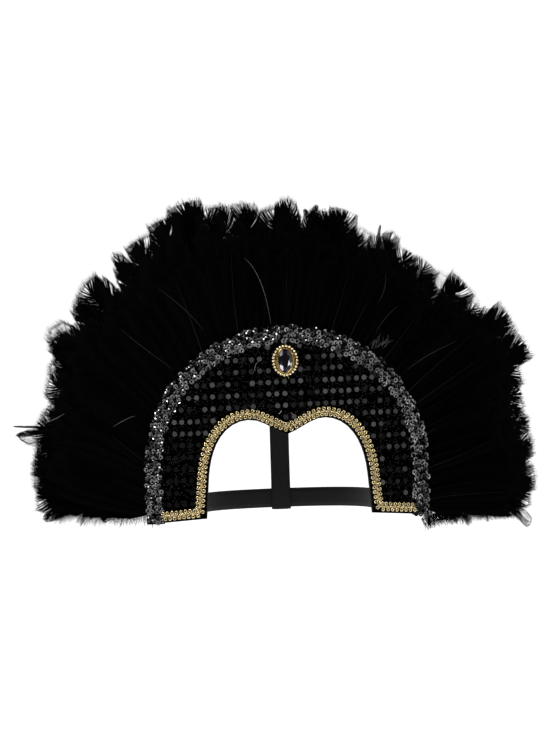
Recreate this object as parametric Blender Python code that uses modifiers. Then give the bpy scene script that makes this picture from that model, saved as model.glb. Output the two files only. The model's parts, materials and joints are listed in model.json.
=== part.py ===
"""Carnival feather headdress: a sequinned crown panel, bent round the brow, in a fan of black feathers.

Metres, +Z up, front towards -Y. The origin is the middle of the head's hollow, level with the point
of the widow's peak. Flat pieces are drawn in the crown's flat pattern (u across, v up) and bent
round the head by wrap(); w is the distance out of the crown board's back face, towards the front.
"""

import math
import random

import bmesh
import bpy
from mathutils import Matrix, Vector
from mathutils.geometry import interpolate_bezier

# Clearance between pieces that touch
GAP = 0.0003
WELD = 0.00001

# Head hollow, seen from above
FOREHEAD_Y = -0.090
CROWN_RADIUS = 0.340

# Crown board, in the flat pattern
CROWN_HALF_WIDTH = 0.144
ARCH_CENTRE_V = -0.031
ARCH_RISE = 0.1385
LEG_END_V = -0.0865
BOARD_THICK = 0.003
CLOTH_THICK = 0.001
CLOTH_INSET = 0.0006

# Face opening, in the flat pattern, with the widow's peak at v 0
OPENING_HALF_WIDTH = 0.0835
OPENING_END_V = -0.0820
SHOULDER_HALF_WIDTH = 0.0803
SHOULDER_V = -0.042
BROW_HALF_SPAN = 0.0368
BROW_RISE = 0.0155

# Gold braid along the lower edge
BRAID_LIP = 0.0012
BRAID_WIDTH = 0.010
BRAID_THICK = 0.0014
BRAID_RAISE = 0.0008
BRAID_LOOP = 0.0052
BRAID_SCALLOP = 0.0005

# Sequin trim along the outer edge
TRIM_WIDTH = 0.0185
TRIM_OVERHANG = 0.0015
TRIM_THICK = 0.0018
TRIM_RAISE = 0.0011
TRIM_STEP = 0.0064

# Jewel, just under the trim
STONE_HALF_WIDTH = 0.0080
STONE_HALF_HEIGHT = 0.0124
STONE_CROWN = 0.0026
STONE_DEPTH = 0.0024
SETTING_HALF_WIDTH = 0.0117
SETTING_HALF_HEIGHT = 0.0146
SETTING_FLOOR = 0.0008
SETTING_HEIGHT = 0.0042
BEAD_RADIUS = 0.0016
BEAD_SPACING = 1.03

# Elastic straps
STRAP_WIDTH = 0.020
STRAP_THICK = 0.0012
BACK_STRAP_V = -0.0705
BACK_STRAP_Y = 0.081
BACK_STRAP_SIDE = 0.091
TAB_LENGTH = 0.018
SIDE_TAB_TO_TAPE = 0.011
CROWN_TAB_V = 0.046
CROWN_STRAP_TOP = 0.091
STRAP_FOLD_LENGTH = 0.013

# Feather fan: its reach and its angles, in degrees from the right-hand side, are seen from the
# front, from the centre of the crown's arch
FAN_REACH = 0.271
FAN_START = -13.0
FAN_END = 187.0
FEATHER_COUNT = 26
TAPE_WIDTH = 0.0125
TAPE_INSET = 0.0015
TAPE_THICK = 0.0014
TAPE_END_SHARE = 0.018
QUILL_THICK = 0.0008
VANE_THICK = 0.0014
FEATHER_FILL = 0.93
LENGTH_SPREAD = (0.975, 1.02)
LEAN_SPREAD = (0.7, 1.3)
TIP_SLANT = 0.12
SLANT_FROM = 0.7
LEAN_POWER = 1.6

# Outer edge of the fan: angle, reach as a share of FAN_REACH
FAN_OUTLINE = (
    (-18, 0.98),
    (-12, 1.00),
    (12, 0.98),
    (20, 0.98),
    (30, 1.05),
    (38, 0.98),
    (46, 0.90),
    (62, 0.95),
    (70, 0.91),
    (86, 1.00),
    (105, 1.00),
    (110, 1.05),
    (118, 0.94),
    (127, 1.02),
    (148, 1.04),
    (157, 0.96),
    (170, 1.01),
    (186, 1.02),
    (192, 0.96),
)

# Feather rows: node, stagger in feathers, share of the fan's reach, layer of depth, how far the
# tips lean to the front as a share of FAN_REACH, twist of each feather about its quill
FEATHER_ROWS = (
    ("feather_row_front", 0.0, 0.84, 0, 0.052, 0.16),
    ("feather_row_middle", 0.5, 0.93, 1, 0.004, -0.16),
    ("feather_row_back", 0.0, 1.00, 2, -0.048, 0.16),
)

# Sections of one feather: share of its length, half width share, thickness share
FEATHER_SECTIONS = (
    (0.00, 0.46, 0.7),
    (0.13, 0.55, 0.9),
    (0.45, 0.74, 1.0),
    (0.80, 0.92, 0.9),
    (0.95, 0.97, 0.7),
    (1.00, 0.78, 0.5),
)
QUILL_SHARE = FEATHER_SECTIONS[1][0]

# Rings of the stone's facets: size share, height share of crown (above 0) or pavilion, points, turn
STONE_RINGS = (
    (0.54, 1.0, 8, 0.5),
    (0.80, 0.62, 8, 0.0),
    (1.00, 0.06, 16, 0.0),
    (1.00, -0.08, 16, 0.0),
    (0.52, -0.62, 8, 0.0),
    (0.06, -1.0, 8, 0.5),
)

# Depth of the layers on the crown's front, and the axis that the crown bends round
CLOTH_W = BOARD_THICK + GAP
TOPPING_W = CLOTH_W + CLOTH_THICK + GAP
BEND_AXIS_Y = FOREHEAD_Y + CROWN_RADIUS
HOLLOW_DEPTH = BACK_STRAP_Y - FOREHEAD_Y
TRIM_INNER_V = ARCH_CENTRE_V + ARCH_RISE + TRIM_OVERHANG - TRIM_WIDTH
JEWEL_V = TRIM_INNER_V - GAP * 2 - BEAD_RADIUS - SETTING_HALF_HEIGHT


def wrap(u, v, w=0.0):
    """A point of the flat pattern bent round the head, and straight on past the crown's edges."""
    held = max(-CROWN_HALF_WIDTH, min(CROWN_HALF_WIDTH, u))
    turn = held / CROWN_RADIUS
    radius = CROWN_RADIUS + w
    x = radius * math.sin(turn) + (u - held) * math.cos(turn)
    y = BEND_AXIS_Y - radius * math.cos(turn) + (u - held) * math.sin(turn)
    return Vector((x, y, v))


def flat_u(x):
    """The place across the flat pattern of what lies at x once it is bent."""
    turn = math.asin(min(abs(x), CROWN_RADIUS) / CROWN_RADIUS)
    most = CROWN_HALF_WIDTH / CROWN_RADIUS
    if turn > most:
        past = (abs(x) - CROWN_RADIUS * math.sin(most)) / math.cos(most)
        return math.copysign(CROWN_HALF_WIDTH + past, x)
    return math.copysign(CROWN_RADIUS * turn, x)


def bezier(start, handle_a, handle_b, end, count=24):
    """Points along a cubic curve, the first one left out so that curves chain."""
    return [p.to_2d() for p in interpolate_bezier(start, handle_a, handle_b, end, count)][1:]


def mix(a, b, share):
    """The point or number at a share of the way from a to b."""
    return a + (b - a) * share


def walk(points, share):
    """The point at a share of a line's length."""
    steps = [(b - a).length for a, b in zip(points, points[1:])]
    left = share * sum(steps)
    for a, b, step in zip(points, points[1:], steps):
        if left <= step and step > 0:
            return mix(a, b, left / step)
        left -= step
    return points[-1].copy()


def length_of(points):
    """The length of a line through points."""
    return sum((b - a).length for a, b in zip(points, points[1:]))


def mirrored(half):
    """A whole edge, left to right, from its right half listed from its lower end to the middle."""
    left = [Vector((-p.x, p.y)) for p in half]
    return left + half[-2::-1]


def opening_half(inset):
    """Right half of the face opening's edge, foot to peak, moved into the board by inset."""
    foot = Vector((OPENING_HALF_WIDTH + inset, OPENING_END_V + inset))
    shoulder = Vector((SHOULDER_HALF_WIDTH + inset, SHOULDER_V))
    brow = Vector((BROW_HALF_SPAN, BROW_RISE + inset))
    peak = Vector((0.0, inset * 1.12))
    side = Vector((mix(shoulder.x, brow.x, 0.08), mix(shoulder.y, brow.y, 0.71)))
    over = Vector((mix(brow.x, shoulder.x, 0.47), brow.y))
    inward = Vector((brow.x * 0.68, brow.y))
    tip = Vector((brow.x * 0.30, mix(peak.y, brow.y, 0.23)))
    edge = [foot] + [mix(foot, shoulder, k / 4) for k in range(1, 5)]
    edge += bezier(shoulder, side, over, brow)
    return edge + bezier(brow, inward, tip, peak)


def outer_half(inset, end_v=LEG_END_V):
    """Right half of the crown's outer edge, foot to top: a straight leg and a quarter of an ellipse."""
    wide = CROWN_HALF_WIDTH - inset
    rise = ARCH_RISE - inset
    edge = [Vector((wide, mix(end_v, ARCH_CENTRE_V, k / 8))) for k in range(8)]
    for k in range(49):
        turn = math.radians(90 * k / 48)
        edge.append(Vector((wide * math.cos(turn), ARCH_CENTRE_V + rise * math.sin(turn))))
    return edge


def plate_mesh(columns, rows, place):
    """A closed plate as a bmesh: place(along, across, side) gives each point, side 1 front, -1 back."""
    shape = bmesh.new()
    bmesh.ops.create_grid(shape, x_segments=columns, y_segments=rows, size=1.0)
    grown = bmesh.ops.extrude_face_region(shape, geom=shape.faces[:])
    back = {v for v in grown["geom"] if isinstance(v, bmesh.types.BMVert)}
    for vert in shape.verts:
        along = (vert.co.x + 1) / 2
        across = (vert.co.y + 1) / 2
        vert.co = place(along, across, -1 if vert in back else 1)
    bmesh.ops.remove_doubles(shape, verts=shape.verts, dist=WELD)
    bmesh.ops.recalc_face_normals(shape, faces=shape.faces)
    return shape


def material(name, colour, roughness, metallic=0.0):
    """A plain Principled material with the piece's own colour and finish."""
    made = bpy.data.materials.new(name)
    made.use_nodes = True
    shader = made.node_tree.nodes["Principled BSDF"]
    shader.inputs["Base Color"].default_value = (*colour, 1.0)
    shader.inputs["Roughness"].default_value = roughness
    shader.inputs["Metallic"].default_value = metallic
    return made


def new_object(name, shape, finish, home):
    """Turns a bmesh into a named object in its collection."""
    mesh = bpy.data.meshes.new(name)
    shape.to_mesh(mesh)
    shape.free()
    mesh.shade_smooth()
    mesh.set_sharp_from_angle(angle=math.radians(35))
    made = bpy.data.objects.new(name, mesh)
    made.data.materials.append(finish)
    home.objects.link(made)
    return made


def cutter(made):
    """Marks an object as a tool of a Boolean, left out of the model."""
    made.hide_render = True
    made.display_type = "WIRE"
    return made


def join_to(target, tool, operation):
    """A Boolean modifier that joins or cuts the tool."""
    modifier = target.modifiers.new(tool.name, "BOOLEAN")
    modifier.operation = operation
    modifier.solver = "EXACT"
    modifier.object = cutter(tool)


def thickened(name, columns, rows, place, thickness, offset, finish, home, mirror):
    """An open sheet given thickness: place(along, across) gives each point of it, or of its right half.

    With offset -1 the thickness grows to the front, with 1 to the back and with 0 both ways."""
    shape = bmesh.new()
    bmesh.ops.create_grid(shape, x_segments=columns, y_segments=rows, size=1.0)
    for vert in shape.verts:
        vert.co = place((vert.co.x + 1) / 2, (vert.co.y + 1) / 2)
    made = new_object(name, shape, finish, home)
    if mirror:
        halves = made.modifiers.new("halves", "MIRROR")
        halves.merge_threshold = WELD
    thick = made.modifiers.new("thickness", "SOLIDIFY")
    thick.thickness = thickness
    thick.offset = offset
    thick.use_even_offset = True
    return made


def crown_panel(name, inset, w_back, thickness, finish, home):
    """The board or its cloth: the field between the face opening and the outer edge."""
    inner = opening_half(inset)
    outer = outer_half(inset, LEG_END_V + inset)

    def place(along, across):
        flat = mix(walk(inner, along), walk(outer, along), across)
        return wrap(flat.x, flat.y, w_back)

    return thickened(name, 19, 4, place, thickness, -1, finish, home, mirror=True)


def braid_sections(inset):
    """The braid's edge at an inset, left to right: foot, leg and brow, brow and leg, foot."""
    half = opening_half(inset)
    end_u = CROWN_HALF_WIDTH - TRIM_WIDTH + TRIM_OVERHANG - GAP * 2
    slope = (LEG_END_V - OPENING_END_V) / (CROWN_HALF_WIDTH - OPENING_HALF_WIDTH)
    end_v = half[0].y + slope * (end_u - half[0].x)
    foot = [Vector((end_u, end_v)), half[0]]
    left_foot = [Vector((-p.x, p.y)) for p in foot]
    left_leg = [Vector((-p.x, p.y)) for p in half]
    return [left_foot, left_leg, half[::-1], foot[::-1]]


def gold_braid(finish, home):
    """Scalloped gimp braid: two stations to a loop, wide and raised at one, narrow at the other."""
    inner = braid_sections(BRAID_LIP)
    outer = braid_sections(BRAID_LIP + BRAID_WIDTH)
    stations = [(0, 0.0)]
    for number, section in enumerate(inner):
        loops = max(1, round(length_of(section) / BRAID_LOOP))
        stations += [(number, k / (2 * loops)) for k in range(1, 2 * loops + 1)]
    columns = len(stations) - 1

    def place(along, across, side):
        index = round(along * columns)
        number, share = stations[index]
        low = walk(inner[number], share)
        high = walk(outer[number], share)
        bulge = index % 2
        narrow = BRAID_SCALLOP * (1 - bulge) / BRAID_WIDTH
        flat = mix(low, high, narrow + across * (1 - 2 * narrow))
        w = TOPPING_W if side < 0 else TOPPING_W + BRAID_THICK + BRAID_RAISE * bulge
        return wrap(flat.x, flat.y, w)

    return new_object("gold_braid", plate_mesh(columns, 1, place), finish, home)


def sequin_trim(finish, home):
    """The band of overlapping sequins on the outer edge, its face knobbly with their tilt."""
    outer = mirrored(outer_half(-TRIM_OVERHANG))
    inner = mirrored(outer_half(TRIM_WIDTH - TRIM_OVERHANG))
    columns = 2 * round(length_of(outer) / TRIM_STEP / 2)
    rows = 2

    def place(along, across, side):
        flat = mix(walk(inner, along), walk(outer, along), across)
        odd = (round(along * columns) + round(across * rows)) % 2
        w = TOPPING_W if side < 0 else TOPPING_W + TRIM_THICK + TRIM_RAISE * odd
        return wrap(flat.x, flat.y, w)

    return new_object("sequin_trim", plate_mesh(columns, rows, place), finish, home)


def oval_block(name, half_width, half_height, low, high, finish, home, segments=28):
    """An upright oval block, its face towards +Z before it is placed."""
    shape = bmesh.new()
    bmesh.ops.create_cone(
        shape, cap_ends=True, segments=segments, radius1=1.0, radius2=1.0, depth=high - low
    )
    bmesh.ops.scale(shape, verts=shape.verts, vec=(half_width, half_height, 1.0))
    bmesh.ops.translate(shape, verts=shape.verts, vec=(0.0, 0.0, (high + low) / 2))
    return new_object(name, shape, finish, home)


def jewel_place(made):
    """Lays a piece drawn face up on the cloth, upright at the jewel's place."""
    made.rotation_euler = (math.radians(90), 0.0, 0.0)
    made.location = wrap(0.0, JEWEL_V, TOPPING_W)
    return made


def gem_setting(finish, home, tools):
    """An oval cup with a rim of round beads, one solid."""
    made = oval_block(
        "gem_setting", SETTING_HALF_WIDTH, SETTING_HALF_HEIGHT, 0.0, SETTING_HEIGHT, finish, home
    )
    pocket = oval_block(
        "gem_pocket",
        STONE_HALF_WIDTH + GAP,
        STONE_HALF_HEIGHT + GAP,
        SETTING_FLOOR,
        SETTING_HEIGHT * 2,
        finish,
        tools,
    )
    beads = bmesh.new()
    ring = []
    for k in range(121):
        turn = 2 * math.pi * k / 120
        ring.append(Vector((SETTING_HALF_WIDTH * math.cos(turn), SETTING_HALF_HEIGHT * math.sin(turn))))
    count = int(length_of(ring) / (2 * BEAD_RADIUS * BEAD_SPACING))
    for k in range(count):
        middle = walk(ring, k / count).to_3d()
        middle.z = SETTING_HEIGHT - BEAD_RADIUS
        bmesh.ops.create_uvsphere(
            beads,
            u_segments=10,
            v_segments=4,
            radius=BEAD_RADIUS,
            matrix=Matrix.Translation(middle),
        )
    rim = new_object("gem_beads", beads, finish, tools)
    for piece in (made, pocket, rim):
        jewel_place(piece)
    join_to(made, pocket, "DIFFERENCE")
    join_to(made, rim, "UNION")
    return made


def gem_stone(finish, home):
    """The cut stone: an oval table, crown facets, a thin girdle and a pavilion."""
    shape = bmesh.new()
    girdle = SETTING_FLOOR + GAP + STONE_DEPTH
    for size, height, count, turn in STONE_RINGS:
        z = girdle + height * (STONE_CROWN if height > 0 else STONE_DEPTH)
        for k in range(count):
            angle = 2 * math.pi * (k + turn) / count
            x = size * STONE_HALF_WIDTH * math.cos(angle)
            y = size * STONE_HALF_HEIGHT * math.sin(angle)
            shape.verts.new((x, y, z))
    bmesh.ops.convex_hull(shape, input=shape.verts)
    bmesh.ops.recalc_face_normals(shape, faces=shape.faces)
    made = new_object("gem_stone", shape, finish, home)
    made.data.shade_flat()
    return jewel_place(made)


def ribbon(name, line, across_axis, finish, home, mirror=False):
    """A flat strap along a line of points, as wide as the strap along across_axis."""
    last = len(line) - 1

    def place(along, across):
        return line[round(along * last)] + across_axis * (across - 0.5) * STRAP_WIDTH

    return thickened(name, last, 1, place, STRAP_THICK, 0, finish, home, mirror)


def curve_in_space(points, count):
    """Points of a cubic curve in space, the first one left out."""
    return interpolate_bezier(*points, count)[1:]


def back_strap(finish, home):
    """Level elastic from leg to leg round the back of the head, its ends flat on the legs' backs."""
    w = -GAP - STRAP_THICK / 2
    level = Vector((0.0, 0.0, BACK_STRAP_V))
    tab_start = CROWN_HALF_WIDTH - TAPE_INSET - TAPE_WIDTH - SIDE_TAB_TO_TAPE
    tab = [wrap(tab_start - TAB_LENGTH * k / 3, 0.0, w) for k in range(4)]
    lead = (tab[3] - tab[2]).normalized()
    side_front = Vector((BACK_STRAP_SIDE, tab[3].y + 0.13 * HOLLOW_DEPTH, 0.0))
    back = Vector((0.0, BACK_STRAP_Y, 0.0))
    handle_tab = tab[3] + lead * 0.05 * HOLLOW_DEPTH
    handle_front = side_front - Vector((0.0, 0.08 * HOLLOW_DEPTH, 0.0))
    handle_side = Vector((BACK_STRAP_SIDE * 1.03, mix(side_front.y, back.y, 0.74), 0.0))
    handle_back = Vector((BACK_STRAP_SIDE * 0.64, back.y, 0.0))
    half = tab + curve_in_space((tab[3], handle_tab, handle_front, side_front), 7)
    half += curve_in_space((side_front, handle_side, handle_back, back), 16)
    line = [p + level for p in half]
    return ribbon("back_strap", line, Vector((0.0, 0.0, 1.0)), finish, home, mirror=True)


def crown_strap(finish, home):
    """Upright elastic from the crown's back over the head, looped round the back strap."""
    front_y = FOREHEAD_Y + GAP + STRAP_THICK / 2
    bow = (STRAP_WIDTH / 2) ** 2 / (2 * BACK_STRAP_SIDE)
    inside_y = BACK_STRAP_Y - STRAP_THICK - GAP - bow
    outside_y = BACK_STRAP_Y + STRAP_THICK + GAP
    pinch_y = inside_y + STRAP_THICK + GAP * 1.4
    fold_radius = (outside_y - inside_y) / 2
    low = BACK_STRAP_V - STRAP_WIDTH / 2
    high = BACK_STRAP_V + STRAP_WIDTH / 2
    meet = high + STRAP_FOLD_LENGTH * 0.6

    def at(y, z):
        return Vector((0.0, y, z))

    tab_top = CROWN_TAB_V + TAB_LENGTH / 2
    tab = [at(front_y, tab_top - TAB_LENGTH * (2 - k) / 2) for k in range(3)]
    top = at(FOREHEAD_Y + 0.29 * HOLLOW_DEPTH, CROWN_STRAP_TOP)
    fall = at(inside_y - 0.025 * HOLLOW_DEPTH, 0.0)
    rise_handle = at(front_y, mix(tab_top, CROWN_STRAP_TOP, 0.68))
    top_front = at(top.y - 0.18 * HOLLOW_DEPTH, CROWN_STRAP_TOP)
    top_back = at(top.y + 0.32 * HOLLOW_DEPTH, CROWN_STRAP_TOP)
    fall_handle = at(fall.y - 0.045 * HOLLOW_DEPTH, 0.6 * CROWN_STRAP_TOP)
    down_handle = at(fall.y + 0.018 * HOLLOW_DEPTH, 0.45 * meet)
    meet_handle = at(inside_y, 0.67 * meet)
    line = tab + curve_in_space((tab[2], rise_handle, top_front, top), 9)
    line += curve_in_space((top, top_back, fall_handle, fall), 14)
    line += curve_in_space((fall, down_handle, meet_handle, at(inside_y, meet)), 7)
    line.append(at(inside_y, low))
    for k in range(1, 7):
        turn = math.pi * k / 6
        y = inside_y + fold_radius * (1 - math.cos(turn))
        line.append(at(y, low - fold_radius * math.sin(turn)))
    line += [at(outside_y, high), at(pinch_y, meet), at(pinch_y, high + STRAP_FOLD_LENGTH)]
    return ribbon("crown_strap", line, Vector((1.0, 0.0, 0.0)), finish, home)


def fan_reach(angle):
    """How far the fan reaches at an angle in degrees, read from the outline's table."""
    for (a, share_a), (b, share_b) in zip(FAN_OUTLINE, FAN_OUTLINE[1:]):
        if a <= angle <= b:
            return FAN_REACH * mix(share_a, share_b, (angle - a) / (b - a))
    return FAN_REACH


def feather_blade(root, tip, half_width, depth, lean, twist, slant):
    """One feather as a closed blade, thin at its edges, that curves by lean and turns by twist."""
    run = tip - root
    side_on = Vector((-run.y, run.x)).normalized()
    columns = len(FEATHER_SECTIONS) - 1

    def place(along, across, side):
        share, width, thick = FEATHER_SECTIONS[round(along * columns)]
        free = max(0.0, share - QUILL_SHARE) / (1 - QUILL_SHARE)
        offset = (across * 2 - 1) * width * half_width
        slide = slant * (across * 2 - 1) * max(0.0, share - SLANT_FROM)
        flat = root + run * (share + slide) + side_on * offset
        body = mix(QUILL_THICK, VANE_THICK, min(1.0, free * 3)) * thick / 2
        w = depth + lean * free ** LEAN_POWER + twist * offset * free
        if across == 0.5:
            w += side * body
        return wrap(flat.x, flat.y, w)

    return plate_mesh(columns, 2, place)


def feather_row(name, stagger, reach_share, layer, lean, twist, finish, home, tools):
    """A row of feathers fused to the tape that they are sewn to, behind the crown's edge."""
    dice = random.Random(layer + 5)
    w_front = -GAP - layer * (TAPE_THICK + GAP)
    outer = outer_half(TAPE_INSET)
    inner = outer_half(TAPE_INSET + TAPE_WIDTH)

    def place(along, across):
        flat = mix(walk(inner, along), walk(outer, along), across)
        return wrap(flat.x, flat.y, w_front)

    made = thickened(name, 24, 1, place, TAPE_THICK, 1, finish, home, mirror=True)
    roots = mirrored(outer_half(TAPE_INSET + TAPE_WIDTH / 2))
    step = (FAN_END - FAN_START) / (FEATHER_COUNT - 1)
    blades = bmesh.new()
    for k in range(FEATHER_COUNT - math.ceil(stagger)):
        angle = FAN_END - (k + stagger) * step
        place_share = (k + stagger) / (FEATHER_COUNT - 1)
        reach = fan_reach(angle) * reach_share * dice.uniform(*LENGTH_SPREAD)
        turn = math.radians(angle)
        tip = Vector((flat_u(reach * math.cos(turn)), reach * math.sin(turn) + ARCH_CENTRE_V))
        blade = feather_blade(
            walk(roots, mix(TAPE_END_SHARE, 1 - TAPE_END_SHARE, place_share)),
            tip,
            reach * math.radians(step) * FEATHER_FILL / 2,
            w_front - TAPE_THICK / 2,
            lean * FAN_REACH * dice.uniform(*LEAN_SPREAD),
            twist,
            dice.uniform(-TIP_SLANT, TIP_SLANT),
        )
        mesh = bpy.data.meshes.new("blade")
        blade.to_mesh(mesh)
        blade.free()
        blades.from_mesh(mesh)
        bpy.data.meshes.remove(mesh)
    join_to(made, new_object(name + "_blades", blades, finish, tools), "UNION")
    return made


def new_collection(name):
    """A collection linked to the scene."""
    made = bpy.data.collections.new(name)
    bpy.context.scene.collection.children.link(made)
    return made


def main():
    """Builds every piece of the headdress."""
    for old in list(bpy.data.objects):
        bpy.data.objects.remove(old, do_unlink=True)
    home = new_collection("feather_headdress")
    tools = new_collection("cutters")
    felt = material("black_felt", (0.012, 0.012, 0.013), 0.95)
    cloth = material("sequin_cloth_black", (0.02, 0.02, 0.022), 0.6)
    sequins = material("black_sequins", (0.03, 0.03, 0.033), 0.18)
    gold = material("gold_thread", (0.62, 0.43, 0.14), 0.35, 0.8)
    gilt = material("gilt_metal", (0.80, 0.62, 0.25), 0.25, 1.0)
    stone = material("black_stone", (0.01, 0.01, 0.014), 0.05)
    elastic = material("black_elastic", (0.02, 0.02, 0.02), 0.8)
    feather = material("black_feather", (0.008, 0.008, 0.009), 0.6)

    crown_panel("crown_board", 0.0, 0.0, BOARD_THICK, felt, home)
    crown_panel("sequin_cloth", CLOTH_INSET, CLOTH_W, CLOTH_THICK, cloth, home)
    gold_braid(gold, home)
    sequin_trim(sequins, home)
    gem_setting(gilt, home, tools)
    gem_stone(stone, home)
    back_strap(elastic, home)
    crown_strap(elastic, home)
    for row in FEATHER_ROWS:
        feather_row(*row, feather, home, tools)


main()
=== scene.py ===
"""Carnival feather headdress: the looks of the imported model, laid out as an add-on and run as a script.

Metres, +Z up, front towards -Y. Flat pieces are drawn in the crown's flat pattern (u across, v up)
and bent round the head by wrap(); w is the distance out of the crown board's back face.
"""

import json
import math
import random

import bmesh
import bpy
from bpy.props import FloatProperty, FloatVectorProperty, IntProperty, PointerProperty
from mathutils import Matrix, Vector
from mathutils.geometry import interpolate_bezier

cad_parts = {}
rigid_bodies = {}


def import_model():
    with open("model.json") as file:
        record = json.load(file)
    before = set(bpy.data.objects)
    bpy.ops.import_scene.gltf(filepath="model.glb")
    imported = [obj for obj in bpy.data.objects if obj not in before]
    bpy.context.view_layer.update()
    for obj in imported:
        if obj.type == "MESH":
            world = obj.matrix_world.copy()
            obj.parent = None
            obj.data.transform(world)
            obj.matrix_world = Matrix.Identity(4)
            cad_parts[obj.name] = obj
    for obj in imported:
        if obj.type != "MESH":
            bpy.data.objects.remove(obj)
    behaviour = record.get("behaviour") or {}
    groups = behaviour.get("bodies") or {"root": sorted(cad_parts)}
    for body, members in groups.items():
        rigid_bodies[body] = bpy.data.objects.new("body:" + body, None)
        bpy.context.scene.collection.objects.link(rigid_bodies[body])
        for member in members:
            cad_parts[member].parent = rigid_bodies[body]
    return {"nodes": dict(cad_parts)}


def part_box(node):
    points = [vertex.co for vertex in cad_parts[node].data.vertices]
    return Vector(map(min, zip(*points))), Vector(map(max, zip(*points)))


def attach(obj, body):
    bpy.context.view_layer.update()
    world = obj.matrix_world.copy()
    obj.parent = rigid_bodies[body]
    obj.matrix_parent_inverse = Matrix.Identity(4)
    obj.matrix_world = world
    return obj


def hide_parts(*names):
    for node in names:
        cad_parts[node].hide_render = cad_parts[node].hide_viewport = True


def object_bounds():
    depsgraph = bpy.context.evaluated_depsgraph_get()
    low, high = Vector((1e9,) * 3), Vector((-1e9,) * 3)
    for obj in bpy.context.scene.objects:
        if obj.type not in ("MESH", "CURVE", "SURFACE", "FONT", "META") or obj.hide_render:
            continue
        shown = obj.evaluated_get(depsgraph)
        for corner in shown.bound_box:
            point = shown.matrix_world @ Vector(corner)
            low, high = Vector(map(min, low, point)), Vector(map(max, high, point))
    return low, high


bl_info = {
    "name": "Feather headdress",
    "version": (1, 0, 0),
    "blender": (4, 5, 0),
    "location": "View3D > Sidebar > Headdress",
    "description": "Dresses a carnival crown in sequins, braid, a jewel and feathers",
    "category": "Object",
}

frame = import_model()
CAD_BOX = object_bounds()
BODY = "root"
MM = 0.001

# Layers of the crown, as the solids have them
GAP = 0.0003
FOREHEAD_Y = -0.090
CROWN_RADIUS = 0.340
CROWN_HALF_WIDTH = 0.144
ARCH_CENTRE_V = -0.031
ARCH_RISE = 0.1385
LEG_END_V = -0.0865
BOARD_THICK = 0.003
CLOTH_THICK = 0.001
CLOTH_INSET = 0.0006
CLOTH_W = BOARD_THICK + GAP
TOPPING_W = CLOTH_W + CLOTH_THICK + GAP
BEND_AXIS_Y = FOREHEAD_Y + CROWN_RADIUS

# Face opening
OPENING_HALF_WIDTH = 0.0835
OPENING_END_V = -0.0820
SHOULDER_HALF_WIDTH = 0.0803
SHOULDER_V = -0.042
BROW_HALF_SPAN = 0.0368
BROW_RISE = 0.0155

# Trimmings
BRAID_LIP = 0.0012
BRAID_WIDTH = 0.010
TRIM_WIDTH = 0.0185
TRIM_OVERHANG = 0.0015
STRAP_WIDTH = 0.020
STRAP_THICK = 0.0012

# Straps
BACK_STRAP_V = -0.0705
BACK_STRAP_Y = 0.081
BACK_STRAP_SIDE = 0.091
TAB_LENGTH = 0.018
SIDE_TAB_TO_TAPE = 0.011
CROWN_TAB_V = 0.046
CROWN_STRAP_TOP = 0.091
STRAP_FOLD_LENGTH = 0.013
HOLLOW_DEPTH = BACK_STRAP_Y - FOREHEAD_Y
# How much the level elastic bows over the upright one's half width, and where the upright one passes it
STRAP_BOW = (STRAP_WIDTH / 2) ** 2 / (2 * BACK_STRAP_SIDE)
STRAP_INSIDE_Y = BACK_STRAP_Y - STRAP_THICK - GAP - STRAP_BOW

# Jewel
SETTING_HALF_WIDTH = 0.0117
SETTING_HALF_HEIGHT = 0.0146
SETTING_HEIGHT = 0.0042
STONE_HALF_WIDTH = 0.0080
STONE_HALF_HEIGHT = 0.0124
BEAD_RADIUS = 0.0016
BEAD_SPACING = 1.03
JEWEL_V = (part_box("gem_stone")[0].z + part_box("gem_stone")[1].z) / 2

# Painted reflections: how light the foil behind the stone's outer facets is painted, anticlockwise from the
# right side, standing in for the light the facets reflect
FACET_PAINTED_GLINTS = (
    0.30, 0.34, 0.10, 0.46, 0.44, 0.70, 0.24, 0.14, 0.06, 0.60, 0.92, 0.30, 0.55, 0.34, 1.00, 0.90,
)

# Rings of the stone's corners: share of the oval, height in mm, corners, turn in corners, pointedness
STONE_RINGS = (
    (0.60, 4.8, 8, 0.0, 0.72),
    (0.80, 4.1, 8, 0.5, 0.90),
    (1.00, 2.9, 16, 0.0, 1.0),
    (1.00, 2.6, 16, 0.0, 1.0),
    (0.50, 1.3, 8, 0.0, 1.0),
)

# Closed section of the stamped cup: outset from the stone's edge and height off the cloth, in mm
CUP_PROFILE = (
    (-2.0, 0.1), (3.6, 0.1), (4.0, 0.6), (3.4, 1.6), (2.0, 2.4), (1.5, 3.0), (0.8, 3.8),
    (0.0, 4.1), (-0.7, 4.0), (-0.9, 3.7), (0.1, 3.2), (0.3, 2.9), (0.3, 0.9), (-2.0, 0.8),
)

# Half the reach of the grid of dots, how far a dot strays in mm, the clear ring round the jewel, and the
# share of dots that has come off
DOT_SPAN = 0.3
DOT_STRAY = 0.25
DOT_CLEARANCE = 4.0 * MM
DOTS_LOST = 0.04

# Ends of thread: start and end in the flat pattern, height and sideways bow, thickness, all in mm, colour
LOOSE_THREADS = (
    (-29.5, 64.5, -26.5, 73.0, 1.6, 1.6, 0.26, "#8c8c8a"),
    # Painted glint: this near-white end of thread stands in for a white glint on the cloth
    (-8.0, 21.0, -5.5, 24.0, 1.8, -0.8, 0.30, "#d8d8d6"),
    (4.0, 21.0, 5.2, 19.2, 1.8, 0.5, 0.24, "#b4b4b2"),
    (138.0, -84.0, 142.5, -87.5, 1.5, -4.6, 0.36, "#101010"),
    (141.0, -85.0, 145.0, -86.5, 2.0, -3.8, 0.36, "#101010"),
    (126.0, -62.0, 129.0, -58.0, 1.6, 1.0, 0.20, "#5a5a5a"),
)

# Feather fan, as the solids have it
FAN_START = -13.0
FAN_END = 187.0
TAPE_WIDTH = 0.0125
TAPE_INSET = 0.0015
TAPE_THICK = 0.0014
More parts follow.
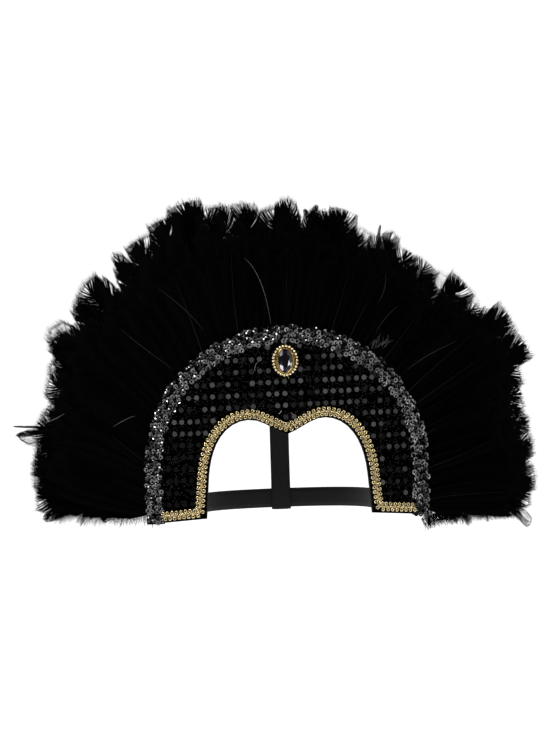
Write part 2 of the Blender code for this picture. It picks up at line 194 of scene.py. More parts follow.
# Tips that stand out on the fan's edge, right to left: angle in degrees, reach in mm, feather kind
FAN_TIPS = (
    (-8, 269, 0), (-4, 271, 0), (1, 270, 1), (9, 269, 4), (15, 267, 0), (19, 268, 6), (24, 290, 2),
    (31, 286, 2), (36, 272, 6), (41, 268, 2), (46, 256, 6), (53, 259, 0), (58, 254, 0), (63, 263, 4),
    (67, 255, 6), (73, 267, 2), (78, 261, 2), (85, 270, 5), (90, 269, 5), (96, 269, 1), (101, 271, 1),
    (106, 268, 6), (110, 287, 2), (114, 281, 2), (118, 262, 6), (121, 277, 2), (126, 280, 5),
    (134, 274, 1), (139, 282, 0), (146, 282, 6), (151, 278, 4), (154, 268, 6), (161, 265, 0),
    (166, 260, 1), (170, 266, 0), (174, 264, 1), (178, 267, 0), (182, 269, 0), (186, 266, 0),
)

# Stray feathers on the rim: angle and reach of the foot, angle and reach of the tip, width, kind
STRAYS = (
    (168.6, 216, 170.4, 284, 0.13, 5),
    (169.0, 226, 172.0, 280, 0.30, 5),
    (170.5, 222, 173.2, 277, 1.10, 7),
    (-10.0, 228, -14.8, 268, 0.42, 6),
    (84.0, 226, 81.0, 262, 0.36, 5),
    (79.0, 232, 84.0, 258, 0.30, 5),
    (64.0, 226, 66.0, 261, 0.20, 5),
    (57.6, 188, 57.4, 238, 0.70, 0),
    (189.0, 200, 190.3, 257, 0.60, 5),
    (186.8, 200, 195.6, 191, 0.80, 0),
)

# Shafts that catch the light on the fan's front, their light painted as grey colour: start, middle and end
# as u and v of the flat pattern and height off the board in mm, thickness in mm, and whether it is pale, a
# brighter painted highlight
LIT_SHAFTS = (
    ((-35.3, 176.5, 19), (-21.1, 152.1, 13), (-12.7, 110.8, 8), 0.48, True),
    ((-118.7, 149.9, 21), (-94.3, 126.7, 15), (-78.5, 106.1, 9), 0.50, False),
    ((-159.5, 111.0, 21), (-140.2, 92.5, 14), (-110.0, 67.9, 8), 0.50, False),
    ((-175.8, 12.7, 13), (-164.2, 19.1, 11), (-152.8, 23.4, 9), 0.50, True),
    ((-259.4, 18.3, 2), (-244.4, 22.0, 6), (-229.8, 27.7, 12), 0.75, True),
    ((91.2, 96.7, 7), (101.1, 112.4, 10), (114.3, 125.1, 14), 0.50, False),
    ((93.3, 127.7, 12), (99.0, 140.5, 15), (100.3, 156.5, 18), 0.50, False),
    ((123.5, 59.7, 7), (147.9, 75.1, 12), (176.6, 87.3, 18), 0.60, False),
)
# Loose barbs in the tuft beside them, painted pale as a highlight
TUFT_HAIRS = 20

# Feather kinds, in mm on a feather 150 mm long: half width, share of it on the narrow side, how much
# the vane flares to its squared tip, how round the tip is, raggedness, share of barbs lost, strands of
# down, spacing and width of the barbs, and how far the shaft shows
FEATHER_KINDS = (
    ("broad", 15.0, 0.95, 0.10, 0.24, 0.04, 0.01, 24, 0.92, 0.92, 0.10),
    ("worn", 14.0, 0.85, 0.08, 0.30, 0.08, 0.04, 24, 0.92, 0.82, 0.20),
    ("flared", 13.5, 1.00, 0.34, 0.06, 0.03, 0.01, 20, 0.80, 0.96, 0.10),
    ("one_sided", 14.5, 0.50, 0.14, 0.30, 0.06, 0.02, 24, 0.92, 0.80, 0.70),
    ("rounded", 12.5, 0.90, 0.00, 0.45, 0.05, 0.01, 24, 0.92, 0.88, 0.10),
    ("narrow", 8.5, 0.80, 0.00, 0.55, 0.10, 0.02, 30, 0.92, 0.80, 0.60),
    ("downy", 14.0, 0.90, 0.05, 0.40, 0.06, 0.02, 10, 0.46, 0.20, 0.05),
    ("wispy", 7.0, 0.70, 0.00, 0.90, 0.16, 0.05, 0, 0.60, 0.20, 0.05),
)

# A feather before it is sized: its length in metres and in mm, its curve, the hairs on each side of its
# fringe, and the variants of each kind
FEATHER_LENGTH = 0.150
FULL = FEATHER_LENGTH / MM
FEATHER_CURVE = 0.09
HAIRS = 180
VARIANTS_EACH = 2

# Profiles of a barb: share of its length, share of its width
VANE_BARB = ((0.0, 0.9), (0.38, 1.0), (0.80, 0.95), (0.95, 0.60), (1.0, 0.0))
DOWN_BARB = ((0.0, 1.0), (0.30, 1.0), (0.60, 1.0), (0.85, 0.8), (1.0, 0.0))
HAIR = ((0.0, 1.0), (0.55, 0.9), (1.0, 0.0))

# Feather rows, each a layer further behind the crown: name, feathers, reach share, lean of the tips to
# the front in mm, spread of the reach
FEATHER_ROWS = (
    ("front", 58, 0.82, 14.0, 0.055),
    ("middle", 66, 0.90, 2.0, 0.040),
    ("back", 78, 1.00, -13.0, 0.045),
)

# Down under the fan: strand length in mm, tufts on a side, their variants, how far out they go, and the
# height of each side's tufts over the crown's feet in mm
DOWN_LENGTH = 17.0
DOWN_TUFTS = 90
DOWN_VARIANTS = 6
DOWN_END_U = 0.255
DOWN_HEIGHTS = ((-1, 9.0), (1, -1.0))

# What a point tells its piece: socket, type and name of the attribute
POINT_ATTRIBUTES = (
    ("Instance Index", "INT", "kind"),
    ("Rotation", "QUATERNION", "turn"),
    ("Scale", "FLOAT_VECTOR", "size"),
)

# Camera: 3 m away, so that one pixel is 1 mm in the crown's plane
IMAGE_WIDTH = 550
CAMERA_DISTANCE = 3.0
CAMERA_YAW = 2.8
CAMERA_ROLL = 2.0
CAMERA_AIM = (-0.010, FOREHEAD_Y, 0.067)
SENSOR_WIDTH = 36

# Stage: the floor's drop below the crown, its reach, the backdrop's place, bend and top
FLOOR_DROP = 0.30
STAGE_REACH = 40.0
BACKDROP_Y = 8.0
BACKDROP_BEND = 2.0
BACKDROP_TOP = 9.0

# Softboxes: name, place and width
LAMPS = (("key", (-1.3, -2.1, 1.5), 0.8), ("fill", (1.9, -1.6, 0.5), 1.2), ("top", (0.0, 0.3, 1.9), 1.0))
LAMP_AIM = (0.0, FOREHEAD_Y, 0.05)
WORLD_GLOW = 0.04
WHITE = (1.0, 1.0, 1.0, 1.0)


# Flat pattern


def wrap(u, v, w=0.0):
    """A point of the flat pattern bent round the head, and straight on past the crown's edges."""
    held = max(-CROWN_HALF_WIDTH, min(CROWN_HALF_WIDTH, u))
    turn = held / CROWN_RADIUS
    radius = CROWN_RADIUS + w
    x = radius * math.sin(turn) + (u - held) * math.cos(turn)
    y = BEND_AXIS_Y - radius * math.cos(turn) + (u - held) * math.sin(turn)
    return Vector((x, y, v))


def outward(u):
    """The direction out of the crown's front at a place across it."""
    return (wrap(u, 0.0, 1.0) - wrap(u, 0.0, 0.0)).normalized()


def flat_u(x):
    """The place across the flat pattern of what lies at x once it is bent."""
    turn = math.asin(min(abs(x), CROWN_RADIUS) / CROWN_RADIUS)
    most = CROWN_HALF_WIDTH / CROWN_RADIUS
    if turn > most:
        past = (abs(x) - CROWN_RADIUS * math.sin(most)) / math.cos(most)
        return math.copysign(CROWN_HALF_WIDTH + past, x)
    return math.copysign(CROWN_RADIUS * turn, x)


def mix(a, b, share):
    """The point or number at a share of the way from a to b."""
    return a + (b - a) * share


def ease(share):
    """A smooth step from 0 to 1."""
    held = max(0.0, min(1.0, share))
    return held * held * (3 - 2 * held)


def length_of(points):
    """The length of a line through points."""
    return sum((b - a).length for a, b in zip(points, points[1:]))


def walk(points, share):
    """The point at a share of a line's length."""
    left = share * length_of(points)
    for a, b in zip(points, points[1:]):
        step = (b - a).length
        if left <= step and step > 0:
            return mix(a, b, left / step)
        left -= step
    return points[-1].copy()


def evenly(points, count):
    """Count + 1 points at even distances along a line."""
    total = length_of(points)
    found = [points[0].copy()]
    at = 0.0
    index = 0
    for k in range(1, count):
        goal = total * k / count
        while at + (points[index + 1] - points[index]).length < goal:
            at += (points[index + 1] - points[index]).length
            index += 1
        step = (points[index + 1] - points[index]).length
        found.append(mix(points[index], points[index + 1], (goal - at) / step))
    return found + [points[-1].copy()]


def mirrored(half):
    """A whole edge, left to right, from its right half listed from its lower end to the middle."""
    return [Vector((-p.x, p.y)) for p in half] + half[-2::-1]


def bezier(*points, count=24):
    """Points along a cubic curve, the first one left out so that curves chain."""
    return list(interpolate_bezier(*points, count))[1:]


def opening_half(inset):
    """Right half of the face opening's edge, foot to peak, moved into the board by inset."""
    foot = Vector((OPENING_HALF_WIDTH + inset, OPENING_END_V + inset))
    shoulder = Vector((SHOULDER_HALF_WIDTH + inset, SHOULDER_V))
    brow = Vector((BROW_HALF_SPAN, BROW_RISE + inset))
    peak = Vector((0.0, inset * 1.12))
    side = Vector((mix(shoulder.x, brow.x, 0.08), mix(shoulder.y, brow.y, 0.71)))
    over = Vector((mix(brow.x, shoulder.x, 0.47), brow.y))
    inward = Vector((brow.x * 0.68, brow.y))
    tip = Vector((brow.x * 0.30, mix(peak.y, brow.y, 0.23)))
    edge = [foot] + [mix(foot, shoulder, k / 4) for k in range(1, 5)]
    return edge + [p.to_2d() for p in bezier(shoulder, side, over, brow) + bezier(brow, inward, tip, peak)]


def outer_half(inset, end_v=LEG_END_V):
    """Right half of the crown's outer edge, foot to top: a straight leg and a quarter of an ellipse."""
    wide = CROWN_HALF_WIDTH - inset
    rise = ARCH_RISE - inset
    edge = [Vector((wide, mix(end_v, ARCH_CENTRE_V, k / 8))) for k in range(8)]
    for k in range(49):
        turn = math.radians(90 * k / 48)
        edge.append(Vector((wide * math.cos(turn), ARCH_CENTRE_V + rise * math.sin(turn))))
    return edge


def fan_reach(angle):
    """How far the fan reaches at an angle in degrees, read from the table of tips."""
    for a, b in zip(FAN_TIPS, FAN_TIPS[1:]):
        if a[0] <= angle <= b[0]:
            return mix(a[1], b[1], (angle - a[0]) / (b[0] - a[0])) * MM
    return (FAN_TIPS[0] if angle < FAN_TIPS[0][0] else FAN_TIPS[-1])[1] * MM


def fan_place(angle, reach):
    """The flat place of what is seen from the front at an angle and a reach from the arch's centre."""
    turn = math.radians(angle)
    return Vector((flat_u(reach * math.cos(turn)), reach * math.sin(turn) + ARCH_CENTRE_V))


# Mesh helpers


def link(made):
    """Puts an object in the scene."""
    bpy.context.scene.collection.objects.link(made)
    return made


def from_bmesh(name, shape, smooth=True):
    """A new object in the scene from a bmesh."""
    mesh = bpy.data.meshes.new(name)
    shape.to_mesh(mesh)
    shape.free()
    if smooth:
        mesh.shade_smooth()
    return link(bpy.data.objects.new(name, mesh))


def drop(*objects):
    """Removes objects that were only needed on the way."""
    for gone in objects:
        bpy.data.objects.remove(gone, do_unlink=True)


def bake_modifiers(made):
    """Turns an object's evaluated shape into a plain mesh."""
    bpy.context.view_layer.update()
    graph = bpy.context.evaluated_depsgraph_get()
    mesh = bpy.data.meshes.new_from_object(made.evaluated_get(graph))
    made.modifiers.clear()
    made.data = mesh
    mesh.name = made.name
    return made


def finish_piece(made, material, slot, *replaced):
    """Gives a finished piece its material, hides the nodes it replaces, and lets it ride; its slot is not
    used.
    """
    made.data.materials.clear()
    made.data.materials.append(material)
    if replaced:
        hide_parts(*replaced)
    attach(made, BODY)
    return made


def sheet_between(name, low, high, columns, rows, place, thickness=0.0):
    """A sheet between two edges with its flat pattern as UV; place(u, v, across) bends it."""
    shape = bmesh.new()
    uv = shape.loops.layers.uv.new("flat")
    bmesh.ops.create_grid(shape, x_segments=columns, y_segments=rows, size=1.0)
    low_points = evenly(low, columns)
    high_points = evenly(high, columns)
    flats = {}
    for vert in shape.verts:
        across = (vert.co.y + 1) / 2
        index = round((vert.co.x + 1) / 2 * columns)
        flats[vert] = mix(low_points[index], high_points[index], across)
        vert.co = place(flats[vert].x, flats[vert].y, across)
    lay_flat(shape, uv, flats)
    bmesh.ops.recalc_face_normals(shape, faces=shape.faces)
    shape.faces.ensure_lookup_table()
    if shape.faces[0].normal.y > 0:
        bmesh.ops.reverse_faces(shape, faces=shape.faces)
    made = from_bmesh(name, shape)
    if thickness:
        thick = made.modifiers.new("thickness", "SOLIDIFY")
        thick.thickness = thickness
        thick.offset = -1
        bake_modifiers(made)
    return made


def lay_flat(shape, uv, flats):
    """Writes each point's flat place into the UV of its faces."""
    for face in shape.faces:
        for loop in face.loops:
            loop[uv].uv = flats[loop.vert]


def turns(count):
    """Angles at even steps round a circle."""
    return [2 * math.pi * n / count for n in range(count)]


def bridge(shape, rings, capped=True):
    """Faces from each ring of points to the next, and a cap on both ends."""
    for a, b in zip(rings, rings[1:]):
        for n, (this, there) in enumerate(zip(a, b)):
            after = (n + 1) % len(a)
            shape.faces.new((this, a[after], b[after], there))
    if capped:
        shape.faces.new(rings[0][::-1])
        shape.faces.new(rings[-1])


def rings_round(shape, radius, profile, unit, sides):
    """Rings of points round Z; profile rows are a share of the radius and a height in units."""
    rings = []
    for share, height in profile:
        size = share * radius
        spots = [(size * math.cos(turn), size * math.sin(turn), height * unit) for turn in turns(sides)]
        rings.append([shape.verts.new(spot) for spot in spots])
    return rings


def sweep(shape, points, radius, sides=6):
    """A closed tube along points; radius(share) gives its size."""
    rings = []
    last = len(points) - 1
    normal = None
    for k, point in enumerate(points):
        tangent = (points[min(last, k + 1)] - points[max(0, k - 1)]).normalized()
        if normal is None:
            normal = tangent.orthogonal().normalized()
            if abs(tangent.z) < 0.9:
                normal = (Vector((0, 0, 1)) - tangent * tangent.z).normalized()
        normal = (normal - tangent * normal.dot(tangent)).normalized()
        side_on = tangent.cross(normal)
        size = radius(k / last)
        offsets = [side_on * math.cos(turn) * size + normal * math.sin(turn) * size for turn in turns(sides)]
        rings.append([shape.verts.new(point + offset) for offset in offsets])
    bridge(shape, rings)
    return rings


# Geometry Nodes


def feed(tree, node, inputs):
    """Fills a node's inputs, each with a value, a socket or a node whose first output it takes."""
    for key, value in inputs.items():
        socket = node.inputs[key]
        if isinstance(value, bpy.types.Node):
            value = value.outputs[0]
        if isinstance(value, bpy.types.NodeSocket):
            tree.links.new(value, socket)
        else:
            socket.default_value = value


def add(tree, kind, settings=None, inputs=None):
    """Adds a node with its settings and its inputs."""
    made = tree.nodes.new(kind)
    for key, value in (settings or {}).items():
        setattr(made, key, value)
    feed(tree, made, inputs or {})
    return made


def new_geometry_tree(name, sockets):
    """A tree with a geometry in and out and named inputs; returns it with what it is given."""
    tree = bpy.data.node_groups.new(name, "GeometryNodeTree")
    tree.interface.new_socket("Geometry", in_out="OUTPUT", socket_type="NodeSocketGeometry")
    for label, kind in {"Geometry": "Geometry", **sockets, "Finish": "Material"}.items():
        tree.interface.new_socket(label, in_out="INPUT", socket_type="NodeSocket" + kind)
    return tree, add(tree, "NodeGroupInput").outputs


def finish_tree(tree, given, geometry):
    """Makes the instances real, gives them the finish and ends the tree."""
    real = add(tree, "GeometryNodeRealizeInstances", None, {"Geometry": geometry})
    painted = add(tree, "GeometryNodeSetMaterial", None, {"Geometry": real, "Material": given["Finish"]})
    add(tree, "NodeGroupOutput", None, {"Geometry": painted})
    return tree


def jittered(tree, given, turn, most):
    """Turns with random ones added, up to most about each axis."""
    least = add(tree, "ShaderNodeVectorMath", {"operation": "SCALE"}, {0: most, "Scale": -1.0})
    span = {0: least, 1: most, "Seed": given["Seed"]}
    jitter = add(tree, "FunctionNodeRandomValue", {"data_type": "FLOAT_VECTOR"}, span)
    extra = add(tree, "FunctionNodeEulerToRotation", None, {"Euler": jitter})
    both = {"Rotation": turn, "Rotate By": extra}
    return add(tree, "FunctionNodeRotateRotation", {"rotation_space": "LOCAL"}, both)


def set_pieces(tree, given, points, shift, turn):
    """Moves points by a shift, sets a turned piece on each and ends the tree."""
    moved = add(tree, "GeometryNodeSetPosition", None, {"Geometry": points, "Offset": shift})
    piece = add(tree, "GeometryNodeObjectInfo", None, {"Object": given["Piece"]})
    inputs = {"Points": moved, "Instance": piece.outputs["Geometry"], "Rotation": turn}
    return finish_tree(tree, given, add(tree, "GeometryNodeInstanceOnPoints", None, inputs))


def on_points_tree():
    """Pieces set on points, each turned, sized and picked by the point's own attributes."""
    tree, given = new_geometry_tree("pieces_on_points", {"Pieces": "Collection"})
    whole = {"Collection": given["Pieces"], "Separate Children": True, "Reset Children": True}
    inputs = {
        "Points": given["Geometry"],
        "Instance": add(tree, "GeometryNodeCollectionInfo", None, whole),
        "Pick Instance": True,
    }
    for socket, kind, name in POINT_ATTRIBUTES:
        inputs[socket] = add(tree, "GeometryNodeInputNamedAttribute", {"data_type": kind}, {"Name": name})
    return finish_tree(tree, given, add(tree, "GeometryNodeInstanceOnPoints", None, inputs))


def along_path_tree():
    """Copies of a piece at even spacing on a path: X along it, Z out of the surface it follows."""
    sockets = {"Piece": "Object", "Spacing": "Float", "Lift": "Float", "Turn": "Float", "Seed": "Int"}
    tree, given = new_geometry_tree("pieces_along_path", sockets)
    curve = add(tree, "GeometryNodeMeshToCurve", None, {"Mesh": given["Geometry"]})
    steps = {"Curve": curve, "Length": given["Spacing"]}
    stations = add(tree, "GeometryNodeResampleCurve", {"mode": "LENGTH"}, steps)
    out = add(tree, "GeometryNodeInputNamedAttribute", {"data_type": "FLOAT_VECTOR"}, {"Name": "outward"})
    tangent = add(tree, "GeometryNodeInputTangent")
    shift = add(tree, "ShaderNodeVectorMath", {"operation": "SCALE"}, {0: out, "Scale": given["Lift"]})
    turn = add(tree, "FunctionNodeAlignRotationToVector", {"axis": "X"}, {"Vector": tangent})
    upright = {"Rotation": turn, "Vector": out}
    turn = add(tree, "FunctionNodeAlignRotationToVector", {"axis": "Z", "pivot_axis": "X"}, upright)
    most = add(tree, "ShaderNodeCombineXYZ", None, {"X": given["Turn"], "Z": given["Turn"]})
    turn = jittered(tree, given, turn, most)
    captured = add(tree, "GeometryNodeCaptureAttribute", {"domain": "POINT"})
    captured.capture_items.new("ROTATION", "turn")
    captured.capture_items.new("VECTOR", "shift")
    feed(tree, captured, {"Geometry": stations, "turn": turn, "shift": shift})
    kept = captured.outputs
    return set_pieces(tree, given, kept["Geometry"], kept["shift"], kept["turn"])


def over_band_tree():
    """Copies of a piece strewn over a surface, no closer than a least distance, tilted at random."""
    sockets = {"Piece": "Object", "Least distance": "Float", "Density": "Float"}
    sockets.update({"Tilt": "Float", "Lift": "Float", "Seed": "Int"})
    tree, given = new_geometry_tree("pieces_over_band", sockets)
    inputs = {"Mesh": given["Geometry"], "Distance Min": given["Least distance"]}
    inputs.update({"Density Max": given["Density"], "Seed": given["Seed"]})
    method = {"distribute_method": "POISSON"}
    strewn = add(tree, "GeometryNodeDistributePointsOnFaces", method, inputs).outputs
    tilt = {"X": given["Tilt"], "Y": given["Tilt"], "Z": math.pi}
    turn = jittered(tree, given, strewn["Rotation"], add(tree, "ShaderNodeCombineXYZ", None, tilt))
    span = {2: 0.0, 3: given["Lift"], "Seed": given["Seed"]}
    height = add(tree, "FunctionNodeRandomValue", {"data_type": "FLOAT"}, span)
    lift = {0: strewn["Normal"], "Scale": height.outputs[1]}
    shift = add(tree, "ShaderNodeVectorMath", {"operation": "SCALE"}, lift)
    return set_pieces(tree, given, strewn["Points"], shift, turn)


def grow(base, tree, values):
    """Runs a tree on an object and keeps the result as its plain mesh."""
    modifier = base.modifiers.new(tree.name, "NODES")
    modifier.node_group = tree
    for item in tree.interface.items_tree:
        if item.in_out == "INPUT" and item.name in values:
            modifier[item.identifier] = values[item.name]
    bake_modifiers(base)
    return base


def path_object(name, flats, w, closed=False):
    """A path over the crown, as a line of edges that also knows which way is out."""
    mesh = bpy.data.meshes.new(name)
    count = len(flats)
    edges = [(k, (k + 1) % count) for k in range(count if closed else count - 1)]
    mesh.from_pydata([wrap(p.x, p.y, w) for p in flats], edges, [])
    out = mesh.attributes.new("outward", "FLOAT_VECTOR", "POINT")
    for k, p in enumerate(flats):
        out.data[k].vector = outward(p.x)
    return link(bpy.data.objects.new(name, mesh))


def points_object(name, places):
    """Points for pieces: each place is its position, its turn, its size and the kind to pick."""
    mesh = bpy.data.meshes.new(name)
    mesh.from_pydata([place[0] for place in places], [], [])
    for key, kind in (("turn", "QUATERNION"), ("size", "FLOAT_VECTOR"), ("kind", "INT")):
        mesh.attributes.new(key, kind, "POINT")
    for k, place in enumerate(places):
        mesh.attributes["turn"].data[k].value = place[1]
        mesh.attributes["size"].data[k].vector = place[2]
        mesh.attributes["kind"].data[k].value = place[3]
    return link(bpy.data.objects.new(name, mesh))


def facing(x_axis, z_axis):
    """The turn that lays X along x_axis and Z as near z_axis as it goes."""
    x = x_axis.normalized()
    z = (z_axis - x * z_axis.dot(x)).normalized()
    y = z.cross(x)
    return Matrix((x, y, z)).transposed().to_quaternion()


# Materials


def linear(colour):
    """An sRGB hex colour as linear RGBA; a colour from the settings is linear already."""
    if not isinstance(colour, str):
        return (*colour[:3], 1.0)
    channels = [int(colour[k : k + 2], 16) / 255 for k in (1, 3, 5)]
    return (*(c / 12.92 if c <= 0.04045 else ((c + 0.055) / 1.055) ** 2.4 for c in channels), 1.0)


def new_material(name, colour, roughness, metallic=0.0, specular=0.5):
    """A Principled material; returns it with its tree and shader for the pattern to be added."""
    made = bpy.data.materials.new(name)
    made.use_nodes = True
    shader = made.node_tree.nodes["Principled BSDF"]
    values = {"Base Color": linear(colour), "Roughness": roughness, "Metallic": metallic}
    feed(made.node_tree, shader, {**values, "Specular IOR Level": specular})
    return made, made.node_tree, shader


def bump_from(tree, shader, height, strength, distance):
    """Adds relief from a height."""
    inputs = {"Height": height, "Strength": strength, "Distance": distance}
    feed(tree, shader, {"Normal": add(tree, "ShaderNodeBump", None, inputs)})


def ramp_between(tree, factor, first, second, low=0.0, high=1.0):
    """A colour ramp between two colours over a stretch of its factor."""
    ramp = add(tree, "ShaderNodeValToRGB", None, {"Fac": factor})
    for stop, place, colour in zip(ramp.color_ramp.elements, (low, high), (first, second)):
        stop.position = place
        stop.color = linear(colour)
    return ramp


def grain(tree, size, detail=2.0, roughness=0.5):
    """Noise over the object's own coordinates; size is that of its grains in mm."""
    place = add(tree, "ShaderNodeTexCoord").outputs["Object"]
    inputs = {"Vector": place, "Scale": 1 / (size * MM), "Detail": detail, "Roughness": roughness}
    return add(tree, "ShaderNodeTexNoise", None, inputs)


def ridges(tree, place, axis, pitch, wobble):
    """Soft ridges across an axis of the flat pattern, a pitch in mm apart."""
    inputs = {"Vector": place, "Scale": 1 / pitch / MM / 20 * math.pi, "Distortion": wobble}
    return add(tree, "ShaderNodeTexWave", {"bands_direction": axis}, inputs).outputs[1]


def needled_felt():
    """Stiff needle-punched polyester felt: matt black, with short fibres whose catch of a little light is
    painted as lighter noise in the colour.
    """
    made, tree, shader = new_material("needled_felt", "#0a0a0b", 0.95, specular=0.2)
    fibre = grain(tree, 0.8, 3.0, 0.7)
    # Painted sheen: lighter patches of fibre noise stand in for the light the fibres catch
    feed(tree, shader, {"Base Color": ramp_between(tree, fibre, "#060607", "#141416", 0.35, 0.75)})
    bump_from(tree, shader, fibre, 0.6, 0.3 * MM)
    return made


def stretch_knit():
    """Black warp-knit polyester with lurex dust: fine wales, and specks whose glints are painted as faint
    colours.
    """
    made, tree, shader = new_material("stretch_knit", "#020202", 0.8, specular=0.0)
    place = add(tree, "ShaderNodeUVMap", {"uv_map": "flat"})
    # Wales 0.9 mm apart and courses 1.1 mm apart, about twice the real knit so that they show
    crossed = {0: ridges(tree, place, "X", 0.9, 1.2), 1: ridges(tree, place, "Y", 1.1, 1.2)}
    weave = add(tree, "ShaderNodeMath", {"operation": "MULTIPLY"}, crossed)
    # Painted glints: specks of dust 0.6 mm across in cells of 1.3 mm, half of them painted lit in faint
    # colours
    specks = add(tree, "ShaderNodeTexVoronoi", None, {"Vector": place, "Scale": 1 / (1.3 * MM)}).outputs
    near = add(tree, "ShaderNodeMath", {"operation": "LESS_THAN"}, {0: specks["Distance"], 1: 0.24})
    chosen = add(tree, "ShaderNodeSeparateColor", None, {"Color": specks["Color"]})
    rare = add(tree, "ShaderNodeMath", {"operation": "GREATER_THAN"}, {0: chosen, 1: 0.50})
    speck_painted_glint = add(tree, "ShaderNodeMath", {"operation": "MULTIPLY"}, {0: near, 1: rare})
    faint = {"Color": specks["Color"], "Saturation": 0.5, "Value": 0.06}
    hue = add(tree, "ShaderNodeHueSaturation", None, faint)
    parts = {"Factor": speck_painted_glint, "A": ramp_between(tree, weave, "#000000", "#030303"), "B": hue}
    colour = add(tree, "ShaderNodeMix", {"data_type": "RGBA"}, parts)
    feed(tree, shader, {"Base Color": colour.outputs["Result"]})
    bump_from(tree, shader, weave, 0.5, 0.25 * MM)
    return made


def set_film(colour):
    """Heat-set black film dots: a grey painted sheen, darkened towards near black by painted shade, by noise
    and at random per dot.
    """
    made, tree, shader = new_material("set_film", colour, 0.5, specular=0.06)
    # Painted shade: how far each dot's painted sheen is darkened, set per dot
    dull = add(tree, "ShaderNodeAttribute", {"attribute_name": "dull"}).outputs["Fac"]
    island = add(tree, "ShaderNodeNewGeometry").outputs["Random Per Island"]
    film_noise = grain(tree, 1.1)
    sheen_dimming = add(tree, "ShaderNodeMath", {"operation": "MULTIPLY_ADD"}, {0: film_noise, 1: 0.5, 2: dull})
    uneven = add(tree, "ShaderNodeMath", {"operation": "MULTIPLY_ADD"}, {0: island, 1: 0.40, 2: sheen_dimming})
    feed(tree, shader, {"Base Color": ramp_between(tree, uneven, colour, "#020202", 0.20)})
    bump_from(tree, shader, film_noise, 0.3, 0.15 * MM)
    return made


def film_sequin(colour):
    """Punched polyester film, metallised: a smooth grey-black mirror, each one a little different."""
    made, tree, shader = new_material("cup_sequin_film", colour, 0.13, 0.9)
    island = add(tree, "ShaderNodeNewGeometry").outputs["Random Per Island"]
    feed(tree, shader, {"Base Color": ramp_between(tree, island, "#080808", colour)})
    bump_from(tree, shader, grain(tree, 2.2, 1.0), 0.2, 0.2 * MM)
    return made


def lurex_thread(colour):
    """Metallised gold yarn wound on a core: pale gold in random patches of noise, dark brown in the others
    as painted shade for the gaps between the winds.
    """
    made, tree, shader = new_material("lurex_thread", colour, 0.27, 0.92)
    winds = grain(tree, 0.7, 2.0, 0.6)
    # Painted shade: the ramp's dark brown end stands in for shade between the winds
    feed(tree, shader, {"Base Color": ramp_between(tree, winds, "#33240c", colour, 0.40, 0.62)})
    bump_from(tree, shader, winds, 0.6, 0.2 * MM)
    return made


def gilt_metal(name, dark, light):
    """Gold-plated stamped brass: a pale yellow mirror, uneven from the die, browner in random patches; given
    the cup's darker colours, it is painted shade there.
    """
    made, tree, shader = new_material(name, light, 0.24, 1.0)
    die = grain(tree, 1.5)
    worn = add(tree, "ShaderNodeMapRange", None, {"Value": die, "To Min": 0.14, "To Max": 0.34})
    feed(tree, shader, {"Roughness": worn, "Base Color": ramp_between(tree, die, dark, light, 0.3, 0.7)})
    bump_from(tree, shader, die, 0.15, 0.1 * MM)
    return made


def cut_acrylic():
    """Foil-backed smoky acrylic: near black in the table; the outer facets get painted reflections, violet
    to silver-white, and the lightest of them turn partly metallic.
    """
    made, tree, shader = new_material("cut_acrylic", "#0a080e", 0.12, specular=0.2)
    # Painted reflections: each facet's painted glint value picks its colour and its metal
    facet = add(tree, "ShaderNodeAttribute", {"attribute_name": "facet"}).outputs["Fac"]
    tone = ramp_between(tree, facet, "#030305", "#ffffff", 0.1)
    for share, colour in ((0.45, "#120e20"), (0.60, "#241d36"), (0.78, "#8c8a94")):
        tone.color_ramp.elements.new(share).color = linear(colour)
    foil = add(tree, "ShaderNodeMapRange", None, {"Value": facet, "From Min": 0.6, "To Max": 0.6})
    feed(tree, shader, {"IOR": 1.49, "Base Color": tone, "Metallic": foil})
    return made


def ribbed_elastic():
    """Knitted polyester elastic: charcoal, matt, with fine ribs along its length."""
    made, tree, shader = new_material("ribbed_elastic", "#141415", 0.82, specular=0.3)
    place = add(tree, "ShaderNodeUVMap", {"uv_map": "flat"})
    # Ribs 1.0 mm apart across the 20 mm, and rubber threads that pucker it every 1.6 mm along
    ribs = ridges(tree, place, "Y", 1.0, 0.3)
    parts = {0: ridges(tree, place, "X", 1.6, 0.8), 1: 0.25, 2: ribs}
    height = add(tree, "ShaderNodeMath", {"operation": "MULTIPLY_ADD"}, parts)
    feed(tree, shader, {"Base Color": ramp_between(tree, ribs, "#0b0b0b", "#151515")})
    bump_from(tree, shader, height, 0.55, 0.25 * MM)
    return made


def dyed_feather(name, colour):
    """Turkey feather dyed black: matt barbs with a faint sheen, a smooth horn shaft a shade lighter."""
    made, tree, shader = new_material(name, colour, 0.6, specular=0.01)
    tip, shaft = (
        add(tree, "ShaderNodeAttribute", {"attribute_name": key}).outputs["Fac"] for key in ("tip", "shaft")
    )
    parts = {"Factor": shaft, "A": ramp_between(tree, tip, "#000000", colour, 0.3), "B": linear("#1a1a19")}
    both = add(tree, "ShaderNodeMix", {"data_type": "RGBA"}, parts)
    gloss = add(tree, "ShaderNodeMapRange", None, {"Value": shaft, "To Min": 0.6, "To Max": 0.3})
    feed(tree, shader, {"Base Color": both.outputs["Result"], "Roughness": gloss})
    return made


def spun_thread(name, colour):
    """Sewing thread: a soft sheen from its twist."""
    made, tree, shader = new_material(name, colour, 0.6)
    bump_from(tree, shader, grain(tree, 0.4, 1.0), 0.4, 0.08 * MM)
    return made


